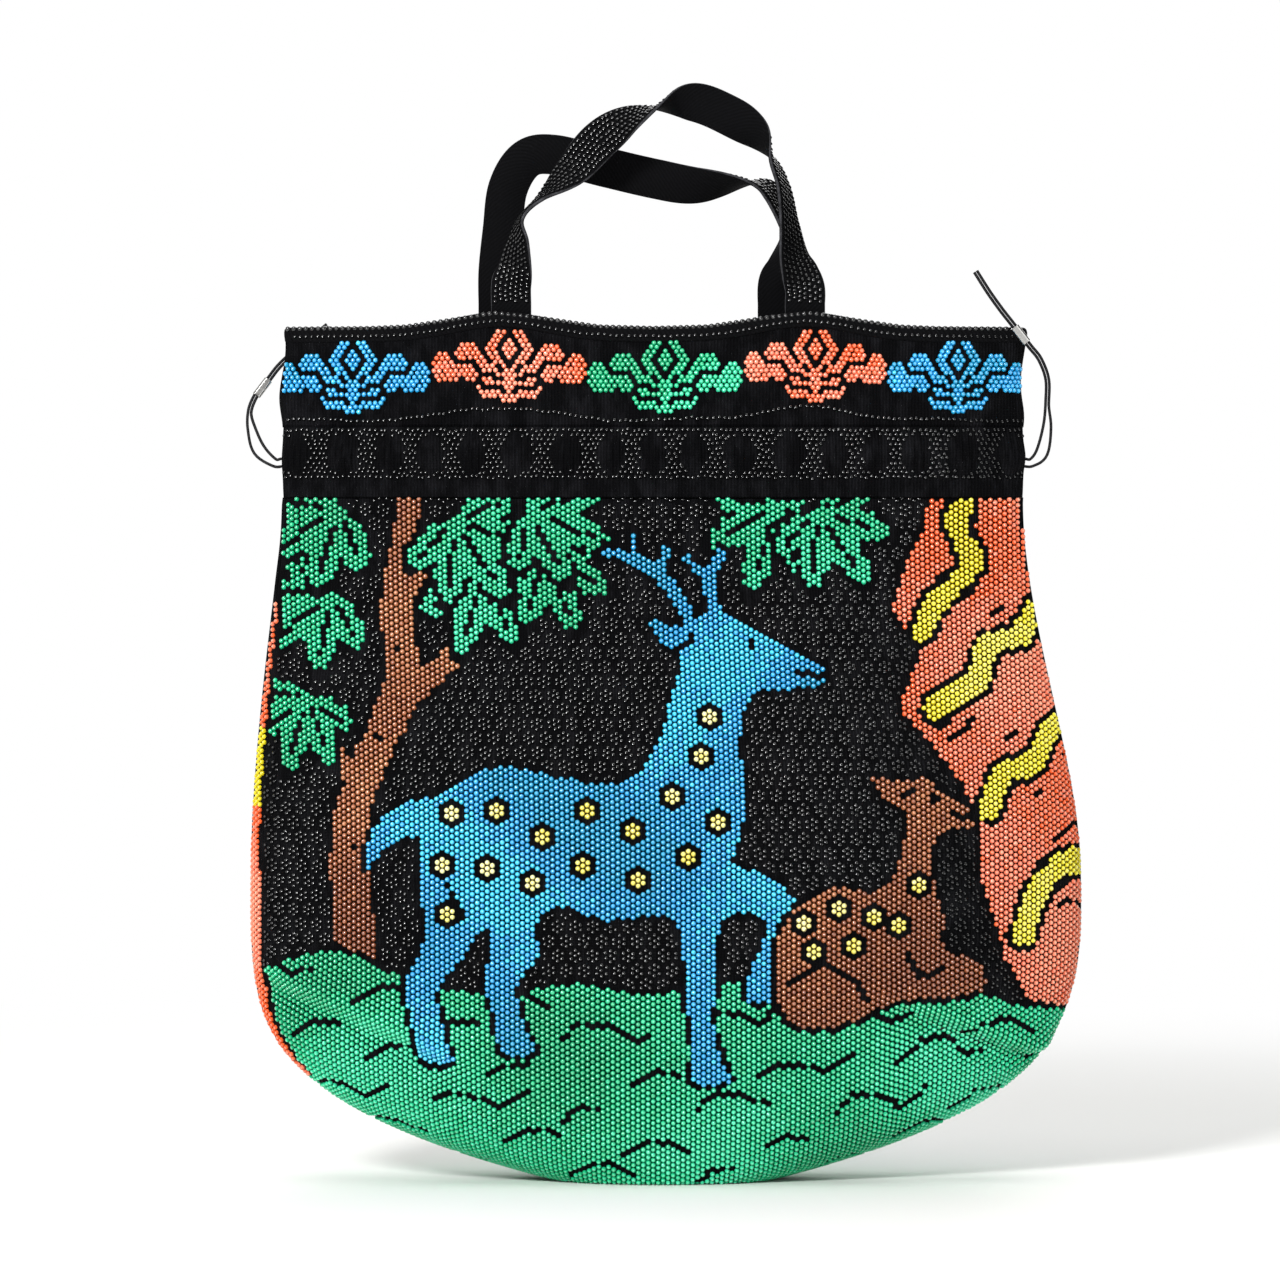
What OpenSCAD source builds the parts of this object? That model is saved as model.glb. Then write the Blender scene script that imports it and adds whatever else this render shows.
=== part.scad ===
// Beaded drawstring handbag: two picture panels on an oval base, a drawcord casing,
// a bordered rim, two sewn strap handles and a crimped drawcord at each side.
// Standing upright: X is the width, Y the depth (front at -Y), Z is up.

/* [Bag] */
// Width across the belly, the widest place
belly_w = 333; // [280:1:400]
// Depth through the belly
belly_d = 80; // [66:1:110]
// Height of the belly above the floor
belly_h = 125; // [100:1:150]
// Width of the flat patch that the bag stands on
base_w = 92; // [60:1:140]
// Depth of that flat patch
base_d = 52; // [40:1:64]
// Width across the mouth
mouth_w = 297; // [250:1:360]
// Depth of the mouth, as it stands open
mouth_d = 30; // [25:1:50]
// Height of the rim above the floor, between its two crests
bag_h = 338; // [280:1:410]
// How far the mouth sits to the left of the belly
mouth_lean = 4; // [0:0.5:10]
// Roundness of the lower corners, higher is fuller
corner_fullness = 4; // [2.5:0.1:6]

/* [Base] */
// Height of the base panel's edge at the middle of the front and back
base_edge_h = 6; // [3:0.5:20]
// Height of the base panel's edge at the sides
base_corner_h = 48; // [30:1:70]

/* [Bands] */
// Height of the border between the casing and the rim
border_h = 37; // [28:1:48]
// Height of the drawcord casing
casing_h = 28; // [20:1:36]
// How far the casing puffs out at mid height
casing_puff = 2.2; // [1.5:0.1:4]
// Rise of the rim where the handles pull it up
rim_rise = 6; // [0:0.5:10]
// Distance between the two crests of the rim
crest_span = 122; // [100:1:140]
// Width of one crest, from its top to where it fades out
crest_w = 26; // [15:1:40]

/* [Fabric] */
// Thickness of the beaded knit, beads included
panel_t = 2.4; // [1.6:0.1:3.2]
// Thickness of the lining, the channel tape and the facing
lining_t = 0.8; // [0.5:0.1:1.2]
// Thickness of the casing's outer cloth
casing_t = 1.4; // [1:0.1:1.6]
// Half angle of the side seam strip, around the bag
seam_angle = 6; // [4:0.5:9]
// Height of the rim binding
binding_h = 1.2; // [0.8:0.1:2]
// How far the rim binding stands out from the border
binding_lip = 0.7; // [0.3:0.1:1.2]

/* [Beads] */
// Diameter of a rim bead
bead_d = 2.1; // [1.6:0.1:2.4]
// Distance from bead to bead along the rim
bead_pitch = 2.45; // [2.4:0.05:3.4]

/* [Handles] */
// Width of a strap
strap_w = 16; // [12:0.5:20]
// Thickness of a strap's beaded face
face_t = 1.6; // [1:0.1:2]
// Thickness of a strap's backing tape
tape_t = 0.9; // [0.6:0.1:1.4]
// Height of the strap's sewn foot above the rim binding
foot_h = 5.2; // [5:0.1:8]
// Length of strap sewn to the facing below the rim
tab_l = 22; // [14:1:28]
// Distance between the front handle's legs
front_leg_span = 117; // [105:1:130]
// Distance between the back handle's legs
back_leg_span = 112; // [105:1:125]
// Height of the front handle above its feet
front_rise = 80; // [66:1:100]
// Height of the back handle above its feet
back_rise = 60; // [50:1:75]

/* [Drawcords] */
// Diameter of the drawcord
cord_d = 1.2; // [0.9:0.1:1.6]
// Length of a crimp
crimp_l = 8; // [6:0.5:8.5]
// Wall of a crimp
crimp_wall = 0.4; // [0.3:0.1:0.6]
// Distance between a drawcord's two strands where they leave the casing
strand_gap = 3; // [2.6:0.1:5]
// Length of strand held in the side opening, ready to feed out
feed_l = 46; // [42:1:60]

/* [Fits] */
// Gap between a sewn strap and the facing that it lies on
sewn_fit = 0.1; // [0.05:0.05:0.2]
// Gap between pieces that move past each other
running_fit = 0.3; // [0.2:0.1:0.6]
// Gap between a cord and the crimp around it
cord_fit = 0.1; // [0.05:0.05:0.2]
// Gap between the cords in the channel and its tape, at the middle of the front and back
channel_fit = 0.8; // [0.7:0.05:0.9]

/* [Hidden] */

bead_black = "#16161a";
knit_black = "#202024";
tape_black = "#101012";
lining_black = "#2a2a2e";
crimp_silver = "#b9bcc0";

// Levels from the floor up
casing_z1 = bag_h - border_h;
casing_z0 = casing_z1 - casing_h;
cord_z = (casing_z0 + casing_z1) / 2;
crest_z = bag_h + rim_rise + binding_h;
hinge_z = crest_z + foot_h;
wall_t = panel_t + lining_t;

// Columns around the bag, in degrees from the front's middle
front_seg = 20;
seam_cols = 90 - seam_angle;
front_cols = [for (i = [0:front_seg]) -seam_cols + 2 * seam_cols * i / front_seg];
back_cols = [for (c = front_cols) c + 180];
right_cols = [seam_cols, 90, 180 - seam_cols];
left_cols = [for (c = right_cols) c + 180];
ring_cols = concat(front_cols, [90], back_cols, [270]);
front_closed = concat([-90], front_cols, [90]);
back_closed = [for (c = front_closed) c + 180];

panel_rows = 10;
base_rows = 4;
casing_rows = 4;
border_rows = 3;
lift_h = 60;

function lerp(a, b, s) = a + (b - a) * s;
function clamp01(s) = min(1, max(0, s));
function ease(s) = 0.5 - 0.5 * cos(180 * clamp01(s));
function unit(v) = v / norm(v);

// The bag's outer surface: half sizes at a height, and a point at an angle, height and depth
function swell(z, base, belly, mouth) =
  z < belly_h
    ? lerp(base, belly, 1 - pow(1 - z / belly_h, corner_fullness)) / 2
    : lerp(belly, mouth, ease((z - belly_h) / (casing_z0 - belly_h))) / 2;
function half_w(z) = swell(z, base_w, belly_w, mouth_w);
function half_d(z) = swell(z, base_d, belly_d, mouth_d);
function lean(z) = -mouth_lean * ease((z - belly_h) / (casing_z0 - belly_h));
function skin(angle, z, depth) = [
  lean(z) + (half_w(z) - depth) * sin(angle),
  -(half_d(z) - depth) * cos(angle),
  z + depth * max(0, 1 - z / lift_h)
];

// Edges that run around the bag
function crest(x) = exp(-pow((abs(x) - crest_span / 2) / crest_w, 2));
function rim_z(angle) = bag_h + rim_rise * crest(mouth_w / 2 * sin(angle));
function base_edge_z(angle) = lerp(base_edge_h, base_corner_h, pow(abs(sin(angle)), 3));

// A closed sheet between two grids of points, rows upward and columns to the right as seen from outside
function quad(a, b, c, d) = [[a, b, c], [a, c, d]];
function crossed_quad(a, b, c, d) = [[a, b, d], [b, c, d]];
module sheet(outer, inner, wraps = false) {
  rows = len(outer);
  cols = len(outer[0]);
  spans = wraps ? cols : cols - 1;
  inner_start = rows * cols;
  function out(j, i) = j * cols + i % cols;
  function inn(j, i) = inner_start + out(j, i);
  walls = [
    for (j = [0:rows - 2]) for (i = [0:spans - 1]) each concat(
      quad(out(j, i), out(j + 1, i), out(j + 1, i + 1), out(j, i + 1)),
      quad(inn(j, i), inn(j, i + 1), inn(j + 1, i + 1), inn(j + 1, i)))
  ];
  // quads are cut along matching diagonals, so that sheets that meet share their triangles
  faces = concat(
    walls,
    [for (i = [0:spans - 1]) each quad(out(0, i), out(0, i + 1), inn(0, i + 1), inn(0, i))],
    [for (i = [0:spans - 1]) each
      crossed_quad(out(rows - 1, i + 1), out(rows - 1, i), inn(rows - 1, i), inn(rows - 1, i + 1))],
    wraps ? [] : [for (j = [0:rows - 2]) each
      crossed_quad(out(j + 1, 0), out(j, 0), inn(j, 0), inn(j + 1, 0))],
    wraps ? [] : [for (j = [0:rows - 2]) each
      quad(out(j, spans), out(j + 1, spans), inn(j + 1, spans), inn(j, spans))]
  );
  polyhedron([for (row = outer) each row, for (row = inner) each row], faces, convexity = 6);
}

// Rows of points on the skin between two edges
function band(cols, low, high, rows, depth, power = 1) = [
  for (j = [0:rows]) [
    for (c = cols) skin(c, lerp(low(c), high(c), pow(j / rows, power)), depth(j / rows))
  ]
];
module skin_band(cols, low, high, rows, outer_depth, inner_depth, power = 1, wraps = false)
  sheet(
    band(cols, low, high, rows, outer_depth, power),
    band(cols, low, high, rows, inner_depth, power),
    wraps
  );

row_power = 1.4;
on_skin = function(v) 0;
at_panel = function(v) panel_t;
at_wall = function(v) wall_t;
at_casing_low = function(c) casing_z0;
at_casing_high = function(c) casing_z1;
at_base_edge = function(c) base_edge_z(c);
at_rim = function(c) rim_z(c);
casing_out = function(v) -casing_puff * sin(180 * v);
casing_in = function(v) casing_t - casing_puff * sin(180 * v);

module panel(cols) skin_band(cols, at_base_edge, at_casing_low, panel_rows, on_skin, at_panel, row_power);
module lining(cols) skin_band(cols, at_base_edge, at_casing_low, panel_rows, at_panel, at_wall, row_power);
module casing(cols) skin_band(cols, at_casing_low, at_casing_high, casing_rows, casing_out, casing_in);
module channel_tape(cols) skin_band(cols, at_casing_low, at_casing_high, casing_rows, at_panel, at_wall);
module border(cols) skin_band(cols, at_casing_high, at_rim, border_rows, on_skin, at_panel);
module facing(cols) skin_band(cols, at_casing_high, at_rim, border_rows, at_panel, at_wall);

module front_panel() color(bead_black) panel(front_cols);
module back_panel() color(bead_black) panel(back_cols);
module left_seam() color(knit_black) panel(left_cols);
module right_seam() color(knit_black) panel(right_cols);
module front_lining() color(lining_black) lining(front_closed);
module back_lining() color(lining_black) lining(back_closed);
module front_casing() color(knit_black) casing(front_cols);
module back_casing() color(knit_black) casing(back_cols);
module front_channel_tape() color(tape_black) channel_tape(front_cols);
module back_channel_tape() color(tape_black) channel_tape(back_cols);
module front_border() color(knit_black) border(front_cols);
module back_border() color(knit_black) border(back_cols);
module left_border_seam() color(knit_black) border(left_cols);
module right_border_seam() color(knit_black) border(right_cols);
module front_facing() color(lining_black) facing(front_closed);
module back_facing() color(lining_black) facing(back_closed);

// A bowl whose flat bottom is a fan of triangles, from one depth in the wall to another
function bowl_rows(depth) = band(ring_cols, function(c) 0, at_base_edge, base_rows, function(v) depth);
module bowl(outer_depth, inner_depth) {
  outer = bowl_rows(outer_depth);
  inner = bowl_rows(inner_depth);
  n = len(ring_cols);
  rows = base_rows + 1;
  inner_start = rows * n;
  middle = 2 * rows * n;
  function out(j, i) = j * n + i % n;
  function inn(j, i) = inner_start + out(j, i);
  faces = [
    for (i = [0:n - 1]) each concat(
      [[middle, out(0, i), out(0, i + 1)], [middle + 1, inn(0, i + 1), inn(0, i)]],
      crossed_quad(out(base_rows, i + 1), out(base_rows, i), inn(base_rows, i), inn(base_rows, i + 1)),
      [for (j = [0:base_rows - 1]) each concat(
        quad(out(j, i), out(j + 1, i), out(j + 1, i + 1), out(j, i + 1)),
        quad(inn(j, i), inn(j, i + 1), inn(j + 1, i + 1), inn(j + 1, i)))])
  ];
  points = [
    for (row = outer) each row,
    for (row = inner) each row,
    [0, 0, outer_depth],
    [0, 0, inner_depth]
  ];
  polyhedron(points, faces, convexity = 6);
}
module base_panel() color(bead_black) bowl(0, panel_t);
module base_lining() color(lining_black) bowl(panel_t, wall_t);

// The rim: a binding over the border and its facing, and a row of beads along it
module rim_binding() {
  function edge(depth, rise) = [
    for (c = ring_cols) skin(c, rim_z(c), depth) + [0, 0, rise]
  ];
  color(tape_black) sheet(
    [edge(-binding_lip, 0), edge(-binding_lip, binding_h)],
    [edge(wall_t, 0), edge(wall_t, binding_h)],
    wraps = true
  );
}
bead_depth = bead_d / 2 + 0.2;
bead_seat = 0.05;
bead_count = floor((mouth_w - 2 * bead_depth) / bead_pitch);
bead_row_w = (bead_count - 1) * bead_pitch;
rim_line = [for (c = front_closed) let (p = skin(c, rim_z(c), bead_depth)) [p.x, p.z + binding_h]];
module rim_beads(side) color(bead_black)
  for (i = [0:bead_count - 1]) {
    across = (i * bead_pitch - bead_row_w / 2) / (mouth_w / 2 - bead_depth);
    place = skin(asin(across), bag_h, bead_depth);
    translate([place.x, side * place.y, lookup(place.x, rim_line) + bead_d / 2 + bead_seat])
      sphere(d = bead_d, $fn = 24);
  }
module front_rim_beads() rim_beads(1);
module back_rim_beads() rim_beads(-1);

// A smooth curve through a list of points, each with as many numbers as it needs
function spline_at(p, k, s) =
  let (a = p[max(0, k - 1)], b = p[k], c = p[min(len(p) - 1, k + 1)], d = p[min(len(p) - 1, k + 2)])
  0.5 * (2 * b + (c - a) * s + (2 * a - 5 * b + 4 * c - d) * s * s + (3 * b - a - 3 * c + d) * s * s * s);
function spline(p, steps) = concat(
  [for (k = [0:len(p) - 2]) for (i = [0:steps - 1]) spline_at(p, k, i / steps)],
  [p[len(p) - 1]]
);
function heading(p, i) = unit(p[min(len(p) - 1, i + 1)] - p[max(0, i - 1)]);

// A closed tube over rings of points, with its two halves cut along matching diagonals
module lofted(rings) {
  n = len(rings[0]);
  last = len(rings) - 1;
  faces = concat(
    [for (i = [1:n - 2]) [0, i, i + 1]],
    [for (i = [1:n - 2]) [last * n, last * n + i + 1, last * n + i]],
    [for (j = [0:last - 1]) for (i = [0:n - 1])
      let (a = j * n + i, b = j * n + (i + 1) % n, c = b + n, d = a + n)
      each i < n / 2 ? quad(a, d, c, b) : crossed_quad(a, d, c, b)]
  );
  polyhedron([for (r = rings) each r], faces, convexity = 8);
}

// Handle routes: across (from -1 at the left leg to 1 at the right), up (from 0 at the feet
// to 1 at the top) and twist in degrees, where 0 faces the strap's beads outward
front_route = [
  [-1, 0, 0], [-1, 0.09, 0], [-0.98, 0.18, 32], [-0.96, 0.30, 58], [-0.94, 0.42, 84], [-0.80, 0.53, 80],
  [-0.58, 0.67, 30], [-0.40, 0.81, 8], [-0.20, 0.92, 46], [0.02, 0.98, 96], [0.24, 1, 160],
  [0.46, 0.94, 178], [0.66, 0.85, 140], [0.78, 0.72, 84], [0.86, 0.58, 72], [0.90, 0.40, 62],
  [0.93, 0.24, 44], [0.97, 0.15, 20], [1, 0.07, 0], [1, 0, 0]
];
back_route = [
  [-1, 0, 0], [-1, 0.22, 0], [-0.97, 0.50, 4], [-0.93, 0.78, 4], [-0.80, 0.97, 0], [-0.60, 1, 0],
  [-0.25, 0.92, 0], [0.12, 0.84, 4], [0.40, 0.80, 26], [0.76, 0.82, 84], [0.94, 0.78, 118],
  [1.02, 0.64, 112], [1.05, 0.46, 88], [1.04, 0.28, 46], [1, 0.12, 0],
  [1, 0, 0]
];
route_steps = 3;
foot_rings = 2;
strap_t = face_t + tape_t;
roll_r = strap_t / 2 - 0.1;
strap_depth = wall_t + sewn_fit + strap_t / 2;
front_middle = -2;
back_middle = -10;
function leg_y(span) = (half_d(bag_h) - strap_depth) * sqrt(1 - pow(span / mouth_w, 2));
front_y = -leg_y(front_leg_span);
back_y = leg_y(back_leg_span);

// A strap's layer, from one depth to another on its beaded side; outward is -1 at the front
module strap(route, middle, span, rise, y, outward, low, high, trim) {
  curve = spline([for (p = route) [middle + p.x * span / 2, y, hinge_z + p.y * rise, p.z]], route_steps);
  path = [for (p = curve) [p.x, p.y, p.z]];
  rings = [
    for (i = [trim:len(path) - 1 - trim])
      let (
        ahead = i == 0 ? [0, 0, 1] : i == len(path) - 1 ? [0, 0, -1] : heading(path, i),
        flat = unit(cross(ahead, [0, 1, 0])),
        across = flat * cos(curve[i][3]) - outward * [0, 1, 0] * sin(curve[i][3]),
        face = -outward * cross(ahead, across),
        centre = path[i] - face * (face_t - tape_t) / 2
      )
      [
        centre + across * strap_w / 2 + face * low,
        centre + across * strap_w / 2 + face * high,
        centre - across * strap_w / 2 + face * high,
        centre - across * strap_w / 2 + face * low
      ]
  ];
  lofted(outward < 0 ? rings : [for (r = rings) [r[3], r[2], r[1], r[0]]]);
}
module handle_tape(route, middle, span, rise, y, outward) color(tape_black) union() {
  strap(route, middle, span, rise, y, outward, -tape_t, 0, 0);
  for (side = [-1, 1])
    translate([middle + side * span / 2, y, hinge_z])
      rotate([0, 90, 0]) cylinder(h = strap_w, r = roll_r, center = true, $fn = 32);
}
module handle_face(route, middle, span, rise, y, outward) color(bead_black)
  strap(route, middle, span, rise, y, outward, 0, face_t, foot_rings);
module front_handle_tape() handle_tape(front_route, front_middle, front_leg_span, front_rise, front_y, -1);
module front_handle_face() handle_face(front_route, front_middle, front_leg_span, front_rise, front_y, -1);
module back_handle_tape() handle_tape(back_route, back_middle, back_leg_span, back_rise, back_y, 1);
module back_handle_face() handle_face(back_route, back_middle, back_leg_span, back_rise, back_y, 1);

// A sewn strap end, flat against the facing and standing above the rim as the handle's foot
tab_cols = 2;
module tab(x, turn) {
  reach = half_w(bag_h) - strap_depth;
  function angle(i) = turn + asin((x + (i / tab_cols - 0.5) * strap_w - lean(bag_h)) / reach) * cos(turn);
  cols = [for (i = [0:tab_cols]) angle(turn == 0 ? i : tab_cols - i)];
  function edge(depth, z) = [for (c = cols) let (p = skin(c, bag_h, depth)) [p.x, p.y, z]];
  low = bag_h - tab_l;
  high = hinge_z - roll_r - running_fit;
  outer = wall_t + sewn_fit;
  color(tape_black) sheet(
    [edge(outer, low), edge(outer, high)],
    [edge(outer + strap_t, low), edge(outer + strap_t, high)]
  );
}
module front_left_tab() tab(front_middle - front_leg_span / 2, 0);
module front_right_tab() tab(front_middle + front_leg_span / 2, 0);
module back_left_tab() tab(back_middle - back_leg_span / 2, 180);
module back_right_tab() tab(back_middle + back_leg_span / 2, 180);

// Drawcord routes from the side openings: place, then half the distance between the two strands
held = cord_d / 2 + cord_fit / 2;
left_outlet = [-mouth_lean - mouth_w / 2, 0, cord_z];
right_outlet = [-mouth_lean + mouth_w / 2, 0, cord_z];
right_route = [
  [0, 0, 0, strand_gap / 2], [3, 0, 0, strand_gap / 2], [7, 0, 4, 2.3], [9, -0.5, 14, 1.6], [9, -1, 23, held],
  [9, -2, 33, held], [6, -4, 41, held], [2, -6, 46, held], [-2, -7, 51, held], [-6, -8, 56, held],
  [-10, -9, 61, held], [-15, -9, 68, held], [-20, -8, 76, held]
];
left_route = [
  [0, 0, 0, strand_gap / 2], [-3, 0, 0, strand_gap / 2], [-9, 1, 5, 2.4], [-12, 2, 13, 1.6], [-13, 3.5, 20, held],
  [-11, 5, 26, held], [-8, 6, 30, held], [-5, 7, 34, held], [-2, 8, 38, held], [2, 8.5, 42, held],
  [8, 8.5, 47, held], [13, 9, 51, held], [18, 10, 55, held]
];
right_crimp_at = 8;
left_crimp_at = 6;
cord_steps = 2;
cord_sides = 8;

module cord_tube(path, sides = cord_sides) {
  rings = [
    for (i = [0:len(path) - 1])
      let (
        ahead = heading(path, i),
        one = unit(cross(ahead, [0, 1, 0])),
        two = cross(ahead, one)
      )
      [for (k = [0:sides - 1]) path[i] + cord_d / 2 * (one * cos(360 * k / sides) + two * sin(360 * k / sides))]
  ];
  lofted(rings);
}
function strand(outlet, route, side) =
  let (curve = spline(route, cord_steps), path = [for (p = curve) outlet + [p.x, p.y, p.z]])
  [
    for (i = [0:len(path) - 1])
      path[i] + side * max(held, curve[i][3]) * unit(cross(i == 0 ? route[1].x * [1, 0, 0] : heading(path, i), [0, 1, 0]))
  ];
module free_cord(outlet, route) color(tape_black)
  for (side = [-1, 1]) cord_tube(strand(outlet, route, side));
module cord_feed(outlet) color(tape_black)
  for (side = [-1, 1])
    translate(outlet + [0, 0, side * strand_gap / 2])
      rotate([0, outlet.x > 0 ? -90 : 90, 0]) cylinder(h = feed_l, d = cord_d, $fn = 24);
module crimp(outlet, route, at) color(crimp_silver) {
  place = outlet + [route[at].x, route[at].y, route[at].z];
  before = outlet + [route[at - 1].x, route[at - 1].y, route[at - 1].z];
  ahead = unit(place - before);
  flat = unit(cross(ahead, [0, 1, 0]));
  side = cross(ahead, flat);
  bore = cord_d + 2 * cord_fit;
  multmatrix([
    [flat.x, side.x, ahead.x, place.x],
    [flat.y, side.y, ahead.y, place.y],
    [flat.z, side.z, ahead.z, place.z]
  ])
    linear_extrude(crimp_l, center = true) difference() {
      union() {
        square([2 * held, bore + 2 * crimp_wall], center = true);
        for (x = [-held, held]) translate([x, 0]) circle(d = bore + 2 * crimp_wall, $fn = 32);
      }
      square([2 * held, bore], center = true);
      for (x = [-held, held]) translate([x, 0]) circle(d = bore, $fn = 32);
    }
}
module left_cord() free_cord(left_outlet, left_route);
module right_cord() free_cord(right_outlet, right_route);
module left_cord_feed() cord_feed(left_outlet);
module right_cord_feed() cord_feed(right_outlet);
module left_crimp() crimp(left_outlet, left_route, left_crimp_at);
module right_crimp() crimp(right_outlet, right_route, right_crimp_at);

// The two drawcords where they lie in the channel, side by side against the tape
channel_sides = 6;
module casing_cords(turn) color(tape_black)
  for (z = [cord_z - strand_gap / 2, cord_z + strand_gap / 2]) {
    depth = panel_t - cord_d / 2 - channel_fit;
    cord_tube([for (i = [1:front_seg - 1]) skin(turn + front_cols[i], z, depth)], channel_sides);
  }
module front_casing_cords() casing_cords(0);
module back_casing_cords() casing_cords(180);

front_panel();
back_panel();
base_panel();
left_seam();
right_seam();
front_lining();
back_lining();
base_lining();
front_casing();
back_casing();
front_channel_tape();
back_channel_tape();
front_casing_cords();
back_casing_cords();
front_border();
back_border();
front_facing();
back_facing();
left_border_seam();
right_border_seam();
rim_binding();
front_rim_beads();
back_rim_beads();
front_handle_tape();
front_handle_face();
back_handle_tape();
back_handle_face();
front_left_tab();
front_right_tab();
back_left_tab();
back_right_tab();
left_cord();
left_cord_feed();
left_crimp();
right_cord();
right_cord_feed();
right_crimp();
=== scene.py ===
import math

import bpy
import numpy as np
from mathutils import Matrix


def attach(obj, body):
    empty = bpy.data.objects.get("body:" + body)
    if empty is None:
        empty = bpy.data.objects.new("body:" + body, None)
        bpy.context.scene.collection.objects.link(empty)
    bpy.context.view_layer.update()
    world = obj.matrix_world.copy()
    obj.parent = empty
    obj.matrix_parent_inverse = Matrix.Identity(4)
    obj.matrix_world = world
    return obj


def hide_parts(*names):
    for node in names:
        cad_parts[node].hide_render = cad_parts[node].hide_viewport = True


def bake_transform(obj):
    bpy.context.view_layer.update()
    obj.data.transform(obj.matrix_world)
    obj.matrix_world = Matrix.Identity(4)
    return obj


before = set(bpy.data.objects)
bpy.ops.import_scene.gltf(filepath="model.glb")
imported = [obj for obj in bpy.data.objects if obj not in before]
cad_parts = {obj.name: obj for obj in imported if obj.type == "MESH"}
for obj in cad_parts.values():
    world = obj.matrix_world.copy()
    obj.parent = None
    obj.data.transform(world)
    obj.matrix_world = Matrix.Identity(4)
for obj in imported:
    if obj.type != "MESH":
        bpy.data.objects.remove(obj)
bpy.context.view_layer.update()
rng = np.random.default_rng(20)
mm = 0.001


def linear(hexColour):  # sRGB hex to the linear values that shaders take
    parts = [int(hexColour[i:i + 2], 16) / 255 for i in (1, 3, 5)]
    return tuple(c / 12.92 if c <= 0.04045 else ((c + 0.055) / 1.055) ** 2.4 for c in parts) + (1.0,)


def addNode(tree, kind, settings=None, values=None, links=None):
    node = tree.nodes.new(kind)
    for key, value in (settings or {}).items():
        setattr(node, key, value)
    for key, value in (values or {}).items():
        node.inputs[key].default_value = value
    for key, (source, socket) in (links or {}).items():
        tree.links.new(source.outputs[socket], node.inputs[key])
    return node


def newMaterial(name, values):
    material = bpy.data.materials.new(name)
    material.use_nodes = True
    shader = material.node_tree.nodes["Principled BSDF"]
    for key, value in values.items():
        shader.inputs[key].default_value = value
    return material, material.node_tree, shader


def addObject(name, data):
    thing = bpy.data.objects.new(name, data)
    bpy.context.scene.collection.objects.link(thing)
    return thing


def makePiece(name, points, faces, materials, slots=None, uv=None):
    # points in mm; faces is a list of index tables, one for each number of corners
    corners = np.concatenate([f.ravel() for f in faces]).astype(np.int32)
    totals = np.concatenate([np.full(len(f), f.shape[1]) for f in faces])
    mesh = bpy.data.meshes.new(name)
    mesh.vertices.add(len(points))
    mesh.vertices.foreach_set("co", (np.asarray(points) * mm).astype(np.float32).ravel())
    mesh.loops.add(len(corners))
    mesh.loops.foreach_set("vertex_index", corners)
    mesh.polygons.add(len(totals))
    mesh.polygons.foreach_set("loop_start", (np.cumsum(totals) - totals).astype(np.int32))
    for material in materials:
        mesh.materials.append(material)
    if slots is not None:
        mesh.polygons.foreach_set("material_index", np.asarray(slots, dtype=np.int32))
    mesh.polygons.foreach_set("use_smooth", np.ones(len(totals), dtype=bool))
    if uv is not None:
        layer = mesh.uv_layers.new(name="cloth")
        layer.data.foreach_set("uv", np.asarray(uv, dtype=np.float32)[corners].ravel())
    mesh.update(calc_edges=True)
    mesh.validate()
    return addObject(name, mesh)


def unit(v):
    return v / np.maximum(np.linalg.norm(v, axis=-1, keepdims=True), 1e-9)


def gridQuads(rows, cols, rowLoop=False, colLoop=False):  # quads of a grid of points, row after row
    r, c = np.meshgrid(np.arange(rows if rowLoop else rows - 1), np.arange(cols if colLoop else cols - 1),
                       indexing="ij")
    r, c = r.ravel(), c.ravel()
    nextR, nextC = (r + 1) % rows, (c + 1) % cols
    return np.column_stack([r * cols + c, r * cols + nextC, nextR * cols + nextC, nextR * cols + c])


def smoothPath(points, steps):  # a smooth curve through every point
    p = np.asarray(points, dtype=float)
    p = np.vstack([p[:1], p, p[-1:]])
    t = np.linspace(0, 1, steps, endpoint=False)[:, None]
    parts = []
    for a, b, c, d in zip(p, p[1:], p[2:], p[3:]):
        parts.append(0.5 * (2 * b + (c - a) * t + (2 * a - 5 * b + 4 * c - d) * t ** 2
                            + (3 * b - a - 3 * c + d) * t ** 3))
    return np.vstack(parts + [p[-1:]])


def lengthsTo(points):  # length along a line from its first point to each
    return np.concatenate([[0], np.cumsum(np.linalg.norm(np.diff(points, axis=0), axis=1))])


def rowsAt(want, known, table):  # a table's rows at wanted places between its known ones
    return np.column_stack([np.interp(want, known, column) for column in table.T])


def soften(s):  # 0 to 1 with a gentle start and end
    s = np.clip(s, 0, 1)
    return s * s * (3 - 2 * s)


print("frame loaded:", len(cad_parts), "nodes")

# The bag's form, in mm. Angles go round the bag: 0 front, 90 right edge, 180 back, 270 left edge
bag = {
    "bellyW": 333, "bellyD": 80, "bellyH": 125, "baseW": 92, "baseD": 52, "mouthW": 297, "mouthD": 30,
    "height": 338, "mouthLean": 4, "casingLow": 273, "casingHigh": 301,
    "rimRise": 6, "crestSpan": 122, "crestW": 26, "edgeMiddle": 6, "edgeCorner": 48,
    "panelT": 2.4, "wallT": 3.2, "layerGap": 0.05, "liftH": 60, "seamHalf": 3, "clothDepth": 1.15,
    "sag": 1.9, "sagFade": (34, 40), "pleat": 1.0, "pleats": (43, 29), "pleatFade": 24, "pleatStart": 2.5,
    "foldRidge": (7, 8), "foldCrease": 5, "foldEnd": 14,  # the ridge's distance and width beside the crease
    "folds": [  # soft diagonal folds at the lower corners: side, two ends as place across and height, depth
        (1, (88, 72), (158, 44), 4.2), (1, (-158, 78), (-84, 46), 3.2),
        (-1, (92, 64), (156, 46), 3.6), (-1, (-154, 74), (-90, 50), 3.6),
    ],
}
clothBack, liningFront = bag["panelT"] - bag["layerGap"], bag["panelT"] + bag["layerGap"]
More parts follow.
